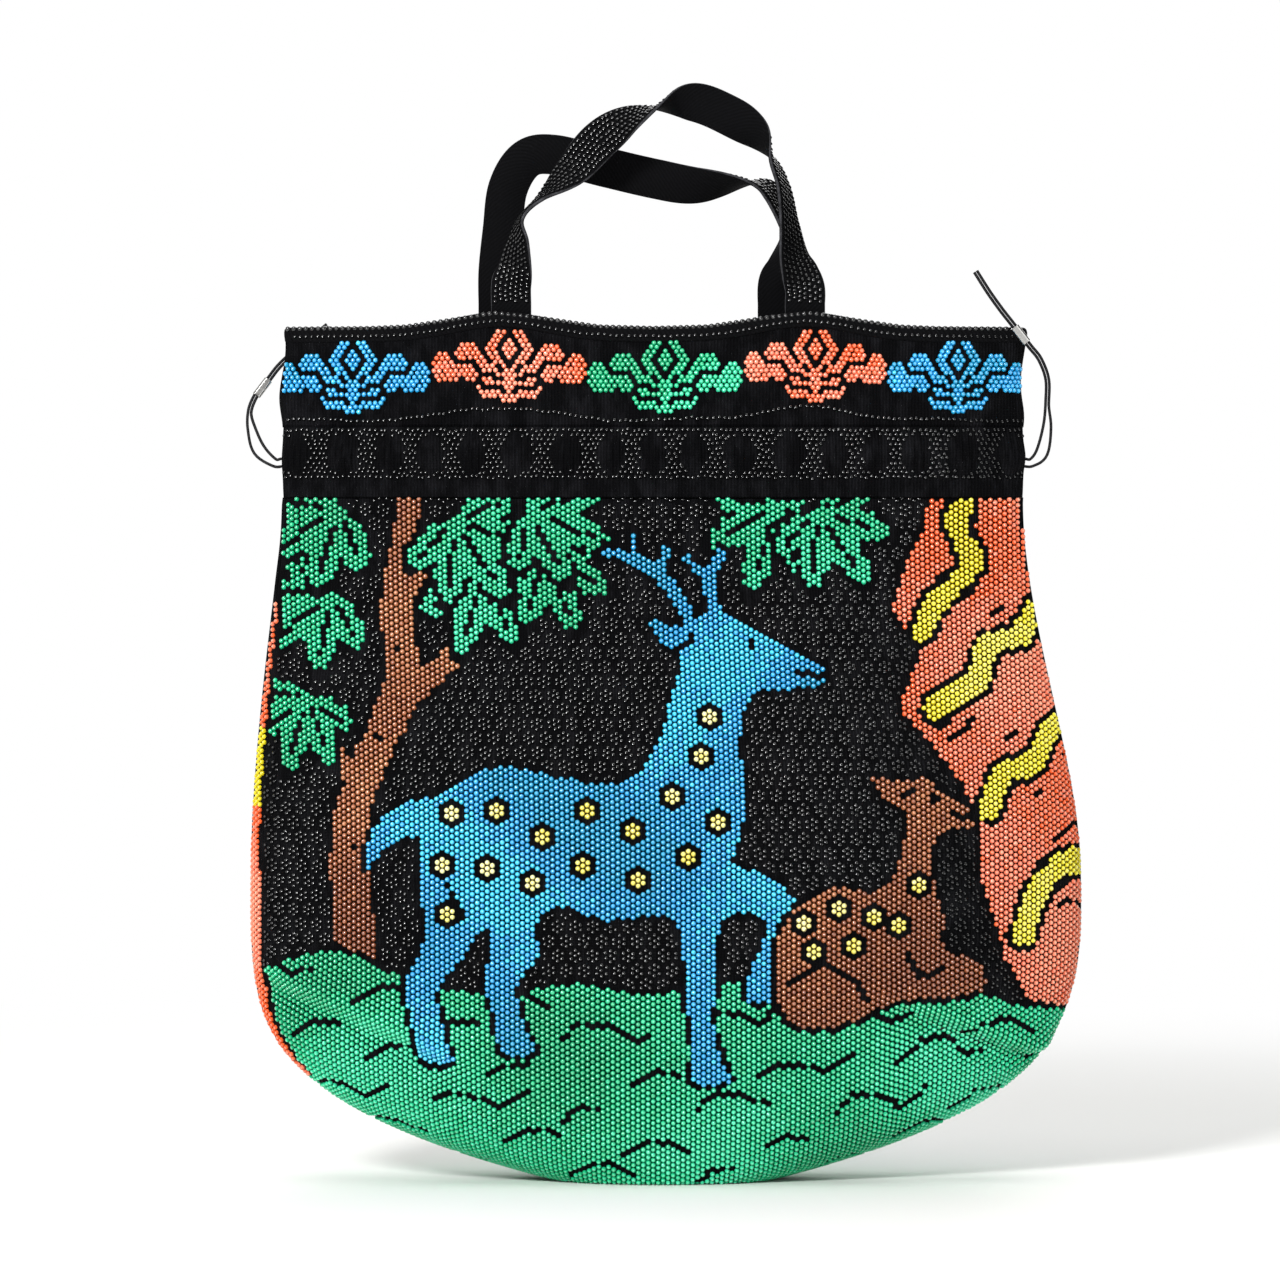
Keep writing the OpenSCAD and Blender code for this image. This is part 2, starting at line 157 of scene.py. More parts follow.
margin = math.radians(bag["seamHalf"])
bothFaces = (("front", 0.0), ("back", math.pi))
bothEdges = (("right", math.pi / 2), ("left", 1.5 * math.pi))


def ease(s):  # the same by a cosine, as the part's own wall has it
    return 0.5 - 0.5 * np.cos(np.pi * np.clip(s, 0, 1))


def neckShare(z):
    return ease((z - bag["bellyH"]) / (bag["casingLow"] - bag["bellyH"]))


def halfSize(z, which):
    base, belly, mouth = bag["base" + which], bag["belly" + which], bag["mouth" + which]
    low = base + (belly - base) * (1 - (1 - np.clip(z / bag["bellyH"], 0, 1)) ** 4)
    return np.where(z < bag["bellyH"], low, belly + (mouth - belly) * neckShare(z)) / 2


def skin(angle, z, depth=0.0):
    angle, z, depth = np.broadcast_arrays(*(np.asarray(v, float) for v in (angle, z, depth)))
    x = -bag["mouthLean"] * neckShare(z) + (halfSize(z, "W") - depth) * np.sin(angle)
    y = -(halfSize(z, "D") - depth) * np.cos(angle)
    return np.stack([x, y, z + depth * np.maximum(0, 1 - z / bag["liftH"])], -1)


def outward(angle, z):
    z = np.asarray(z, float)
    around = skin(angle + 0.002, z) - skin(angle - 0.002, z)
    up = skin(angle, z + 0.05) - skin(angle, np.maximum(z - 0.05, 0))
    return unit(np.cross(around, up))


def rimHeight(angle):
    across = np.abs(bag["mouthW"] / 2 * np.sin(angle))
    return bag["height"] + bag["rimRise"] * np.exp(-((across - bag["crestSpan"] / 2) / bag["crestW"]) ** 2)


def baseEdge(angle):
    return bag["edgeMiddle"] + (bag["edgeCorner"] - bag["edgeMiddle"]) * np.abs(np.sin(angle)) ** 3


def sagAt(angle, z):  # soft hollows of a lightly filled bag, and pleats that run down from the casing
    below, over = bag["casingLow"] - z, z - baseEdge(angle)
    fade = soften(below / bag["sagFade"][0]) * soften(over / bag["sagFade"][1])
    side = np.sin(angle)
    waves = (np.sin(2.1 * side * 2.2 + z / 37 + 0.6)
             + 0.7 * np.sin(5.2 * side - z / 52 + np.cos(angle) * 1.3) + 0.5 * np.sin(z / 21 + 3 * side))
    below = np.maximum(below, 0)
    ripple = 0.6 * np.cos(bag["pleats"][0] * angle) + 0.5 * np.cos(bag["pleats"][1] * angle + 1)
    pleat = np.exp(-below / bag["pleatFade"]) * (1 - np.exp(-below / bag["pleatStart"])) * ripple
    across = halfSize(z, "W") * side
    fold, end = 0, bag["foldEnd"]
    for way, (ax, az), (bx, bz), depth in bag["folds"]:
        length = math.hypot(bx - ax, bz - az)
        along = ((across - ax) * (bx - ax) + (z - az) * (bz - az)) / length
        off = ((z - az) * (bx - ax) - (across - ax) * (bz - az)) / length
        ridge = np.exp(-((off - bag["foldRidge"][0]) / bag["foldRidge"][1]) ** 2)
        shape = ridge - 1.1 * np.exp(-(off / bag["foldCrease"]) ** 2)
        ends = soften((along + end) / (2 * end)) * soften((length + end - along) / (2 * end))
        fold = fold + depth * shape * ends * soften(way * np.cos(angle) * 4)
    return 0.5 * bag["sag"] * fade * waves + bag["pleat"] * pleat + fold * soften(over / 12)


def form(angle, z, depth=0.0):
    return skin(angle, z, depth) + outward(angle, z) * sagAt(angle, z)[..., None]


quarter = np.linspace(0, np.pi / 2, 721)


def arcTable(z):  # arc length from the middle of a side towards its edge, for each angle in quarter
    a, b = float(halfSize(np.asarray(z, float), "W")), float(halfSize(np.asarray(z, float), "D"))
    speed = np.hypot(a * np.cos(quarter), b * np.sin(quarter))
    return np.concatenate([[0], np.cumsum((speed[1:] + speed[:-1]) / 2 * np.diff(quarter))])


mouthArc, bellyArc = arcTable(bag["casingHigh"]), arcTable(bag["bellyH"])


def angleAt(distance, table):  # signed arc length from the middle of a side
    return np.sign(distance) * np.interp(np.abs(distance), table, quarter)


def arcAt(angle, table):
    turns = np.floor((angle + np.pi / 2) / np.pi)
    local = angle - turns * np.pi
    return turns * 2 * table[-1] + np.sign(local) * np.interp(np.abs(local), quarter, table)


def evenAngles(low, high, count, table):  # angles at even steps of arc length
    fine = np.linspace(low, high, 1441)
    arc = arcAt(fine, table)
    return np.interp(np.linspace(arc[0], arc[-1], count), arc, fine)


# Camera first: square on to the front, far off with a long lens; the frame is 512 mm wide at the bag
view = {"frameW": 0.512, "middle": (-0.0092, 0.0, 0.216), "away": 2.6, "rise": 0.055, "sensor": 36.0}
cameraData = bpy.data.cameras.new("camera")
cameraData.sensor_width = view["sensor"]
cameraData.lens = view["sensor"] * view["away"] / view["frameW"]
camera = addObject("camera", cameraData)
camera.location = (view["middle"][0], view["middle"][1] - view["away"], view["middle"][2] + view["rise"])
camera.rotation_euler = (math.pi / 2 - math.atan2(view["rise"], view["away"]), 0, 0)
bpy.context.scene.camera = camera

bandGap = 0.314  # a wave texture of scale 1 has its bands this many units apart


def tintAndRelief(tree, shader, pattern, tones, strength=0.0, depth=0.0, height=None):
    # colours a pattern between two tones, and lets it, or another height, stand out by depth in mm
    tint = addNode(tree, "ShaderNodeValToRGB", links={"Fac": pattern})
    for stop, tone in zip(tint.color_ramp.elements, tones):
        stop.color = linear(tone)
    tree.links.new(tint.outputs["Color"], shader.inputs["Base Color"])
    if strength:
        relief = addNode(tree, "ShaderNodeBump", None, {"Strength": strength, "Distance": depth * mm},
                         {"Height": height or pattern})
        tree.links.new(relief.outputs["Normal"], shader.inputs["Normal"])
    return tint


# Two strands leave each end of the casing, and a crimp holds them together. Half their spacing is spread
# at a route's first points, and held at the rest
cords = {
    "diameter": 1.2, "held": 0.65, "steps": 6, "plait": 0.9, "tones": ("#060608", "#141417"),
    "right": {
        "outlet": (144.5, 0, 287), "side": 1,
        "spread": (1.5, 1.5, 2.3, 1.6),
        "route": [
            (0, 0, 0), (3, 0, 0), (7, 0, 4), (9, -0.5, 14), (9, -1, 23), (9, -2, 33), (6, -4, 41),
            (2, -6, 46), (-2, -7, 51), (-6, -8, 56), (-10, -9, 61), (-15, -9, 68), (-20, -8, 76),
        ],
    },
    "left": {
        "outlet": (-152.5, 0, 287), "side": -1, "spread": (1.5, 1.5, 2.4, 1.6),
        "route": [
            (0, 0, 0), (-3, 0, 0), (-9, 1, 5), (-12, 2, 13), (-13, 3.5, 20), (-11, 5, 26), (-8, 6, 30),
            (-5, 7, 34), (-2, 8, 38), (2, 8.5, 42), (8, 8.5, 47), (13, 9, 51), (18, 10, 55),
        ],
    },
}
# Waxed cotton cord: a tight braid dulled by wax, black with a low sheen and faint diagonal plaits
cordMaterial, tree, shader = newMaterial("waxedCottonCord", {"Roughness": 0.55, "Specular IOR Level": 0.2})
place = addNode(tree, "ShaderNodeTexCoord")
plait = addNode(tree, "ShaderNodeTexWave", {"bands_direction": "DIAGONAL"},
                {"Scale": bandGap / (cords["plait"] * mm), "Distortion": 0.6},
                {"Vector": (place, "Object")})  # twice the real plait so that it shows
tintAndRelief(tree, shader, (plait, "Fac"), cords["tones"], 0.5, 0.2)
for hand in ("left", "right"):
    spec = cords[hand]
    spread = np.full(len(spec["route"]), cords["held"])
    spread[:len(spec["spread"])] = spec["spread"]
    line = smoothPath(np.column_stack([spec["route"], spread]), cords["steps"])
    path = np.array(spec["outlet"]) + line[:, :3]
    heading = unit(np.gradient(path, axis=0))
    heading[0] = (spec["side"], 0, 0)
    apart = unit(np.cross(heading, (0, 1, 0))) * np.maximum(cords["held"], line[:, 3])[:, None]
    for strandName, way in (("lower", 1), ("upper", -1)):
        points = (path + way * apart) * mm
        curve = bpy.data.curves.new(f"{hand}_cord_{strandName}", "CURVE")
        curve.dimensions, curve.bevel_depth, curve.bevel_resolution = "3D", cords["diameter"] / 2 * mm, 3
        curve.use_fill_caps = True
        spline = curve.splines.new("POLY")
        spline.points.add(len(points) - 1)
        spline.points.foreach_set("co", np.column_stack([points, np.ones(len(points))]).ravel())
        spline.use_smooth = True
        curve.materials.append(cordMaterial)
        strand = addObject(curve.name, curve)
        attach(strand, f"{hand}_drawcord")
        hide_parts(f"{hand}_cord")
print("camera and cords made")

# Rib knit: fine upright ribs of matt black yarn, so the cloth stays dark and shows faint upright lines
knit = {"tones": ("#010102", "#1A1A1D"), "rib": 1.3, "stitch": 1.1, "streak": 7}
knitMaterial, tree, shader = newMaterial("ribKnitYarn", {"Roughness": 0.85, "Specular IOR Level": 0.06})
place = addNode(tree, "ShaderNodeUVMap", {"uv_map": "cloth"})
rib = addNode(tree, "ShaderNodeTexWave", {"bands_direction": "X"},
              {"Scale": bandGap / (knit["rib"] * mm), "Distortion": 1.2, "Detail": 1.0,
               "Detail Scale": 0.4},
              {"Vector": (place, "UV")})
stitch = addNode(tree, "ShaderNodeTexWave", {"bands_direction": "Y"},
                 {"Scale": bandGap / (knit["stitch"] * mm), "Distortion": 2.0, "Detail": 1.0},
                 {"Vector": (place, "UV")})
loops = addNode(tree, "ShaderNodeMath", {"operation": "MULTIPLY_ADD"}, {1: 0.35},
                {0: (stitch, "Fac"), 2: (rib, "Fac")})
tall = addNode(tree, "ShaderNodeMapping", None, {"Scale": (1, 0.4, 1)}, {"Vector": (place, "UV")})
streak = addNode(tree, "ShaderNodeTexNoise", None,
                 {"Scale": 1 / (knit["streak"] * mm), "Detail": 4.0, "Roughness": 0.65},
                 {"Vector": (tall, "Vector")})  # upright streaks where the yarn is rubbed
rubbed = addNode(tree, "ShaderNodeMapRange", None, {"From Min": 0.45, "From Max": 0.75, "To Min": 0.1},
                 {"Value": (streak, "Fac")})
faint = addNode(tree, "ShaderNodeMapRange", None, {"To Min": 0.5}, {"Value": (rib, "Fac")})
worn = addNode(tree, "ShaderNodeMath", {"operation": "MULTIPLY"},
               links={0: (faint, "Result"), 1: (rubbed, "Result")})
tintAndRelief(tree, shader, (worn, 0), knit["tones"], 0.8, 0.4, (loops, 0))

# Cotton twill tape: flat woven, dull black, with fine slanting lines
tape = {"twill": 0.9, "tones": ("#060607", "#0B0B0D"), "edgePatch": 4, "edgeTones": ("#141416", "#3E3E42")}
tapeMaterial, tree, shader = newMaterial("cottonTwillTape", {"Roughness": 0.9, "Specular IOR Level": 0.06})
place = addNode(tree, "ShaderNodeUVMap", {"uv_map": "cloth"})
twill = addNode(tree, "ShaderNodeTexWave", {"bands_direction": "DIAGONAL"},
                {"Scale": bandGap / (tape["twill"] * mm), "Distortion": 1.5, "Detail": 2.0},
                {"Vector": (place, "UV")})  # coarser than the real 0.5 mm so that it shows
tintAndRelief(tree, shader, (twill, "Fac"), tape["tones"], 0.15, 0.2)

# Folded selvedge of the strap tape: its yarn is coloured dark to mid grey in noise patches, so a thin pale
# line shows
edgeMaterial, tree, shader = newMaterial("greySelvedge", {"Roughness": 0.75, "Specular IOR Level": 0.2})
place = addNode(tree, "ShaderNodeUVMap", {"uv_map": "cloth"})
edgeNoise = addNode(tree, "ShaderNodeTexNoise", None,
              {"Scale": 1 / (tape["edgePatch"] * mm), "Detail": 3.0, "Roughness": 0.6},
              {"Vector": (place, "UV")})
tint = tintAndRelief(tree, shader, (edgeNoise, "Fac"), tape["edgeTones"])
tint.color_ramp.elements[0].position, tint.color_ramp.elements[1].position = 0.3, 0.7

# Lining satin: smooth black weave with a soft sheen and slack creases
satin = {"crease": 30, "tones": ("#08080B", "#141419")}
satinMaterial, tree, shader = newMaterial("liningSatin", {"Roughness": 0.45, "Specular IOR Level": 0.3})
place = addNode(tree, "ShaderNodeUVMap", {"uv_map": "cloth"})
slack = addNode(tree, "ShaderNodeTexNoise", None,
                {"Scale": 1 / (satin["crease"] * mm), "Detail": 2.0, "Roughness": 0.45},
                {"Vector": (place, "UV")})
tintAndRelief(tree, shader, (slack, "Fac"), satin["tones"], 0.5, 3)

# Nickel-plated brass crimp: drawn tube, bright, with faint draw marks that dull it here and there
crimp = {"metal": "#B9B8B5", "marks": 1.2, "roughness": (0.2, 0.42)}
crimpMaterial, tree, shader = newMaterial("nickelPlatedBrass", {
    "Base Color": linear(crimp["metal"]), "Metallic": 1.0, "Roughness": 0.28})
place = addNode(tree, "ShaderNodeTexCoord")
marks = addNode(tree, "ShaderNodeTexNoise", None, {"Scale": 1 / (crimp["marks"] * mm), "Detail": 3.0},
                {"Vector": (place, "Object")})
wear = addNode(tree, "ShaderNodeMapRange", None,
               {"To Min": crimp["roughness"][0], "To Max": crimp["roughness"][1]},
               {"Value": (marks, "Fac")})
tree.links.new(wear.outputs["Result"], shader.inputs["Roughness"])

# Pearl-finish round beads: moulded and dyed through, in four tones a colour, as dye lots differ. The sides
# are dull where the beads rub on each other, and the top keeps its lustre coat with its own small highlight.
# On coloured beads the top also carries a painted highlight: its colour is a lighter, whiter copy of the
# side's
beadTones = {
    "blue": ("#1690BC", "#1C92CC", "#2CA2DC", "#34BCE2"),
    "green": ("#0CA26C", "#12B078", "#1EBC86", "#32C896"),
    "brown": ("#783C1E", "#8A4A28", "#9A5832", "#AA6A42"),
    "coral": ("#E85C2A", "#E86C44", "#EC7A5C", "#F08A6C"),
    "yellow": ("#D6C41A", "#E0D028", "#E8DA3C", "#EEE25A"),
    "pale": ("#E0CE54", "#E8D970", "#EEE28A", "#F2E8A2"),
    # cut jet glass, with one bright dot on each bead
    "black": ("#020203", "#030304", "#040405", "#060607"),
}
lustre = {
    # the first three entries set the painted highlight: how much a coloured bead's top is lightened and
    # whitened, and its limit
    "highlightGain": 1.28, "highlightWhiten": 0.05, "highlightCap": 0.9, "coat": 1.0, "coatRoughness": 0.15,
    "polish": 0.16, "gloss": 0.9, "rubbed": 0.5, "rubbedGloss": 0.15, "tilt": 0.2,
    "jetPolish": 0.085, "jetGloss": 0.95, "jetRubbedGloss": 0.04, "jetTilt": 0.38,
}
beadMaterials = {}
for colour, tones in beadTones.items():
    jet = colour == "black"
    name = ("jetGlass_" if jet else "pearlBead_") + colour
    sides, tops = [], []
    for number, tone in enumerate(tones):
        shade = linear(tone)
        sides.append(newMaterial(f"{name}_side_{number + 1}", {
            "Base Color": shade, "Roughness": lustre["rubbed"],
            "Specular IOR Level": lustre["jetRubbedGloss" if jet else "rubbedGloss"]})[0])
        if not jet:
            # painted highlight: the top takes a lighter, whiter copy of the side's colour
            bright = [min(lustre["highlightCap"], c * lustre["highlightGain"] + lustre["highlightWhiten"]) for c in shade[:3]]
            shade = (*bright, 1.0)
        tops.append(newMaterial(f"{name}_top_{number + 1}", {
            "Base Color": shade, "Roughness": lustre["jetPolish" if jet else "polish"],
            "Specular IOR Level": lustre["jetGloss" if jet else "gloss"],
            "Coat Weight": 0.0 if jet else lustre["coat"], "Coat Roughness": lustre["coatRoughness"]})[0])
    beadMaterials[colour] = sides + tops
polishedMaterial = beadMaterials["black"][5]


def beadTemplate(flat=1.0, cap=36, sides=8):
    # a closed dome of unit radius: three rings, a top point and a flat underside
    rings = np.radians([cap, 70, 106])
    turn = np.arange(sides) * 2 * np.pi / sides
    points = [np.array([[0.0, 0.0, flat]])]
    for ring in rings:
        points.append(np.column_stack([np.sin(ring) * np.cos(turn), np.sin(ring) * np.sin(turn),
                                       np.full(sides, flat * np.cos(ring))]))
    k = np.arange(sides)
    after = (k + 1) % sides
    fan = np.column_stack([np.zeros(sides, int), 1 + k, 1 + after])
    walls = [np.column_stack([upper + k, upper + sides + k, upper + sides + after, upper + after])
             for upper in (1, 1 + sides)]
    under = (1 + 2 * sides + k[::-1])[None, :]
    return np.vstack(points), [fan, np.vstack(walls), under]


beadPoints, beadFaces = beadTemplate()
facetPoints = beadTemplate(0.5, 40)[0]  # black beads are flatter on top, so their highlights are broader
beadLimit = 4200  # beads in one piece, which keeps each piece under 200,000 triangles
beadCount = 0


def makeBeads(name, centres, normals, radius, colour="black", tones=None, blend=None):
    global beadCount
    jet = colour == "black"
    if tones is None:
        tones = rng.integers(0, 4, len(centres))
    parts = max(1, math.ceil(len(centres) / beadLimit))
    for number, chosen in enumerate(np.array_split(np.arange(len(centres)), parts)):
        n = len(chosen)
        facing = normals[chosen]
        # on their thread the tops turn up a little
        upward = np.array([0, 0, lustre["jetTilt" if jet else "tilt"]])
        facing = unit(facing + upward * (1 - np.abs(facing[:, 2:3])))
        helper = np.where(np.abs(facing[:, 2:3]) > 0.9, [[1.0, 0, 0]], [[0, 0, 1.0]])
        first = unit(np.cross(helper, facing))
        spin = np.stack([first, np.cross(facing, first), facing], 1)  # rows are the bead's own axes
        size = radius * rng.uniform(0.96, 1.04, n)
        local = (facetPoints if jet else beadPoints)[None] * size[:, None, None]
        points = (local @ spin + centres[chosen][:, None]).reshape(-1, 3)
        step = (np.arange(n) * len(beadPoints))[:, None, None]
        faces = [(f[None] + step).reshape(-1, f.shape[1]) for f in beadFaces]
        slots = [np.repeat(tones[chosen] + shift, len(f)) for shift, f in zip((4, 0, 0), beadFaces)]
        label = name if parts == 1 else f"{name}_{number + 1}"
        piece = makePiece(label, points, faces, beadMaterials[colour], np.concatenate(slots))
        if blend:
            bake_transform(piece)
        else:
            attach(piece, "bag")
    beadCount += len(centres)


def toneOf(x, z):  # soft patches of tone with a few strays, as mixed bead lots give
    patch = (np.sin(x / 19 + 1.3 * np.sin(z / 23)) + np.sin(z / 15 + 1.7 * np.sin(x / 31 + 2)) + 2) / 4
    return np.clip(np.floor(patch * 4 + rng.normal(0, 0.55, len(x))), 0, 3).astype(int)


def shellFaces(rows, cols, loop=False, capped=False):
    # quads of a sheet with an outer and an inner layer, closed along its edges
    inner = rows * cols
    quads = [gridQuads(rows, cols, colLoop=loop)]
    quads.append(quads[0][:, ::-1] + inner)
    c = np.arange(cols if loop else cols - 1)
    nextC = (c + 1) % cols
    top = (rows - 1) * cols
    quads.append(np.column_stack([top + c, top + nextC, inner + top + nextC, inner + top + c]))
    faces = []
    if capped:  # the lowest row closes to a small disc in each layer
        faces.append(np.arange(cols)[None, ::-1])
        faces.append(np.arange(cols)[None] + inner)
    else:
        quads.append(np.column_stack([c, inner + c, inner + nextC, nextC]))
    if not loop:
        r = np.arange(rows - 1)
        left, right = r * cols, r * cols + cols - 1
        quads.append(np.column_stack([left, left + cols, inner + left + cols, inner + left]))
        quads.append(np.column_stack([right, inner + right, inner + right + cols, right + cols]))
    return [np.vstack(quads)] + faces


def makeShell(name, outer, inner, uv, material, replaced, loop=False, capped=False):
    rows, cols = outer.shape[:2]
    points = np.vstack([outer.reshape(-1, 3), inner.reshape(-1, 3)])
    flatUv = np.vstack([uv.reshape(-1, 2)] * 2) * mm
    piece = makePiece(name, points, shellFaces(rows, cols, loop, capped), [material], uv=flatUv)
    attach(piece, "bag")
    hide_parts(replaced)


def wallGrid(angles, lowEdge, highEdge, rows):
    # heights between two edges, each a number or a function of the angle
    low, high = (np.broadcast_to(edge(angles) if callable(edge) else edge, angles.shape)[None]
                 for edge in (lowEdge, highEdge))
    z = low + (high - low) * np.linspace(0, 1, rows)[:, None]
    return np.broadcast_to(angles[None], z.shape), z


def gridUv(a, z, table):
    return np.stack([arcAt(a, table), z], -1)


def makeWall(name, middle, half, grid, edges, shape, depths, table, material, replaced):
    # a piece of the wall that reaches half an angle to each side of its middle
    angles = evenAngles(middle - half, middle + half, grid[0], table)
    a, z = wallGrid(angles, *edges, grid[1])
    outer, inner = (shape(a, z, depth) for depth in depths)
    makeShell(name, outer, inner, gridUv(a, z, table), material, replaced)


# Cloth of the picture panels, seams, base and lining, as numbers of points across and up
cloth = {"panel": (150, 110), "lining": (90, 60), "base": (160, 26), "patchMiddle": 0.03,
         "welt": (9, 90), "weltDepth": 0.75, "weltRise": 0.35}
panelEdges, liningDepths = (baseEdge, bag["casingLow"]), (liningFront, bag["wallT"])


def makeWelt(name, middle, rows, edges, shape, table, replaced):
    # a side seam, whose welt stands a little proud
    a, z = wallGrid(np.linspace(middle - margin, middle + margin, cloth["welt"][0]), *edges, rows)
    ridge = cloth["weltDepth"] - cloth["weltRise"] * np.cos((a - middle) / margin * np.pi / 2)
    makeShell(name, shape(a, z, ridge), shape(a, z, clothBack), gridUv(a, z, table), knitMaterial, replaced)


for side, middle in bothFaces:
    makeWall(f"{side}_panel_cloth", middle, math.pi / 2 - margin, cloth["panel"], panelEdges, form,
             (bag["clothDepth"], clothBack), bellyArc, knitMaterial, f"{side}_panel")
    makeWall(f"{side}_lining_satin", middle, math.pi / 2, cloth["lining"], panelEdges, form, liningDepths,
             bellyArc, satinMaterial, f"{side}_lining")
for side, middle in bothEdges:
    makeWelt(f"{side}_seam_welt", middle, cloth["welt"][1], panelEdges, form, bellyArc, f"{side}_seam")


def baseSheet(depth, cols, rows):  # from the flat patch's middle out to its edge, then up to the base seam
    angles = evenAngles(0, 2 * math.pi, cols + 1, bellyArc)[:-1]
    edge = skin(angles, np.zeros(cols), depth)
    shares = np.linspace(cloth["patchMiddle"], 1, rows // 2, endpoint=False)
    rings = [edge * np.array([share, share, 1.0]) for share in shares]
    return np.concatenate([rings, form(*wallGrid(angles, 0.0, baseEdge, rows - rows // 2), depth)])


for name, depths, material, replaced, slot in (
        ("base_panel_cloth", (bag["clothDepth"], clothBack), knitMaterial, "base_panel", "base_beadwork"),
        ("base_lining_satin", liningDepths, satinMaterial, "base_lining", "lining_satin")):
    outer, inner = (baseSheet(depth, *cloth["base"]) for depth in depths)
    makeShell(name, outer, inner, outer[..., :2], material, replaced, loop=True, capped=True)
print("panels, seams, base and lining made")

# Casing for the drawcord: gathered knit that puffs out in round windows between hour-glass bead clusters
casing = {
    "knit": (420, 30), "tape": (80, 8), "middle": 290.5, "open": 6, "thick": 1.2, "flat": 0.5,
    "windows": 17, "windowW": 5.4, "windowH": 7.3, "puff": 2.4, "crinkle": 0.55, "crinkleStep": 3.1,
    "beadBand": 9.4, "pitch": 2.15, "row": 1.85, "beadR": 0.8, "beadOut": 0.25, "stray": 0.26,
    "windowRoom": 1.12, "endRoom": 1.5,
}
windowStep = 2 * mouthArc[-1] / casing["windows"]


def windowOffset(arc):  # distance to the middle of the nearest window, which no two stitch alike
    return (arc + 1.5 * np.sin(arc / 13.7) + windowStep / 2) % windowStep - windowStep / 2


def casingOut(arc, z):
    rise = np.sin(np.pi * np.clip((z - bag["casingLow"]) / (bag["casingHigh"] - bag["casingLow"]), 0, 1))
    across = windowOffset(arc) / casing["windowW"]
    up = (z - casing["middle"] - 1.2 * np.sin(arc / 17 + 1)) / casing["windowH"]
    bulge = np.exp(-(across ** 2 + up ** 2) ** 1.5)
    ripple = 2 * np.pi * arc / casing["crinkleStep"] + 2 * np.sin(arc / 11) + 0.2 * (z - casing["middle"])
    crinkle = casing["crinkle"] * np.sin(ripple) * bulge
    fullness = casing["puff"] * (1 + 0.3 * np.sin(arc / 7.3))
    return rise ** 0.8 * (casing["flat"] + fullness * bulge) + crinkle * rise


def casingForm(angle, z, inside=0.0):
    lifted = casingOut(arcAt(angle, mouthArc), z) - inside
    return skin(angle, z) + outward(angle, z) * lifted[..., None]


# The casing stays open at the sides, where the cords come out
slit = math.pi / 2 - math.radians(casing["open"])
casingEdges = (bag["casingLow"], bag["casingHigh"])
for side, middle in bothFaces:
    makeWall(f"{side}_casing_knit", middle, slit, casing["knit"], casingEdges, casingForm,
             (0.0, casing["thick"]), mouthArc, knitMaterial, f"{side}_casing")
    makeWall(f"{side}_channel_tape_cloth", middle, slit, casing["tape"], casingEdges, skin, liningDepths,
             mouthArc, tapeMaterial, f"{side}_channel_tape")

# Border: plain rib knit with a facing behind it, sewn into side seams and bound along the rim
border = {
    "knit": (220, 26), "facing": (110, 12), "weltRows": 20, "outDepth": 0.9, "wave": 0.7, "edgeWave": 1.3,
    "rowPitch": 2.2, "rowHeight": 303.8, "rowRoom": 1.5, "rowR": 0.85, "rowOut": 0.2, "rowFollow": 0.85,
    "rowStray": (0.15, 0.2),
}


def borderForm(angle, z, depth):  # the border hangs in slow waves, and its side edges waver too
    share = np.clip((z - bag["casingHigh"]) / (bag["height"] - bag["casingHigh"]), 0, 1.2)
    slow = 0.5 + 0.5 * np.sin(arcAt(angle, mouthArc) / 9.5)
    wave = border["wave"] * slow * np.sin(np.pi * np.clip(share, 0, 1)) ** 0.7
    edge = border["edgeWave"] * np.sin(5.2 * share + 1.2 + np.sin(angle))
    edge = edge * np.sin(np.pi * 0.5 * np.clip(share * 2.5, 0, 1))
    edge = edge * soften((np.abs(np.sin(angle)) - 0.93) / 0.07)
    normal = outward(angle, np.minimum(z, bag["height"] + 8))
    return skin(angle, z, depth) + normal * (wave + edge)[..., None]


borderEdges = (bag["casingHigh"], rimHeight)
for side, middle in bothFaces:
    makeWall(f"{side}_border_knit", middle, math.pi / 2 - margin, border["knit"], borderEdges, borderForm,
             (border["outDepth"], clothBack), mouthArc, knitMaterial, f"{side}_border")
    makeWall(f"{side}_facing_cloth", middle, math.pi / 2, border["facing"], borderEdges, borderForm,
             liningDepths, mouthArc, tapeMaterial, f"{side}_facing")
for side, middle in bothEdges:
    makeWelt(f"{side}_border_seam_welt", middle, border["weltRows"], borderEdges, borderForm, mouthArc,
             f"{side}_border_seam")

# Binding: a narrow strip folded over the rim, with a rounded top
binding = {
    "cols": 400, "tapeW": 9, "beadR": 0.78, "beadPitch": 2.4, "beadDrop": 0.9,
    "beadDepth": 0.05, "beadOut": 0.1, "stray": 0.1,
    "profile": [  # depth into the wall, and height over the rim
        (0.55, -3.2), (0.2, -2.5), (0.05, -0.4), (0.15, 1.0), (0.5, 2.0), (1.05, 2.65), (1.8, 2.9),
        (2.5, 2.55), (3.05, 1.6), (3.2, 0.4), (3.2, -3.2),
    ],
}
angles = evenAngles(0, 2 * math.pi, binding["cols"] + 1, mouthArc)[:-1]
rings = np.array([borderForm(angles, rimHeight(angles) + up, depth) for depth, up in binding["profile"]])
folded = np.linspace(0, binding["tapeW"], len(rings))[:, None]
uv = np.stack(np.broadcast_arrays(arcAt(angles, mouthArc)[None], folded), -1).reshape(-1, 2) * mm
piece = makePiece("rim_binding_strip", rings.reshape(-1, 3), [gridQuads(*rings.shape[:2], True, True)],
                  [tapeMaterial], uv=uv)
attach(piece, "bag")
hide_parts("rim_binding")
print("casing, border and binding made")

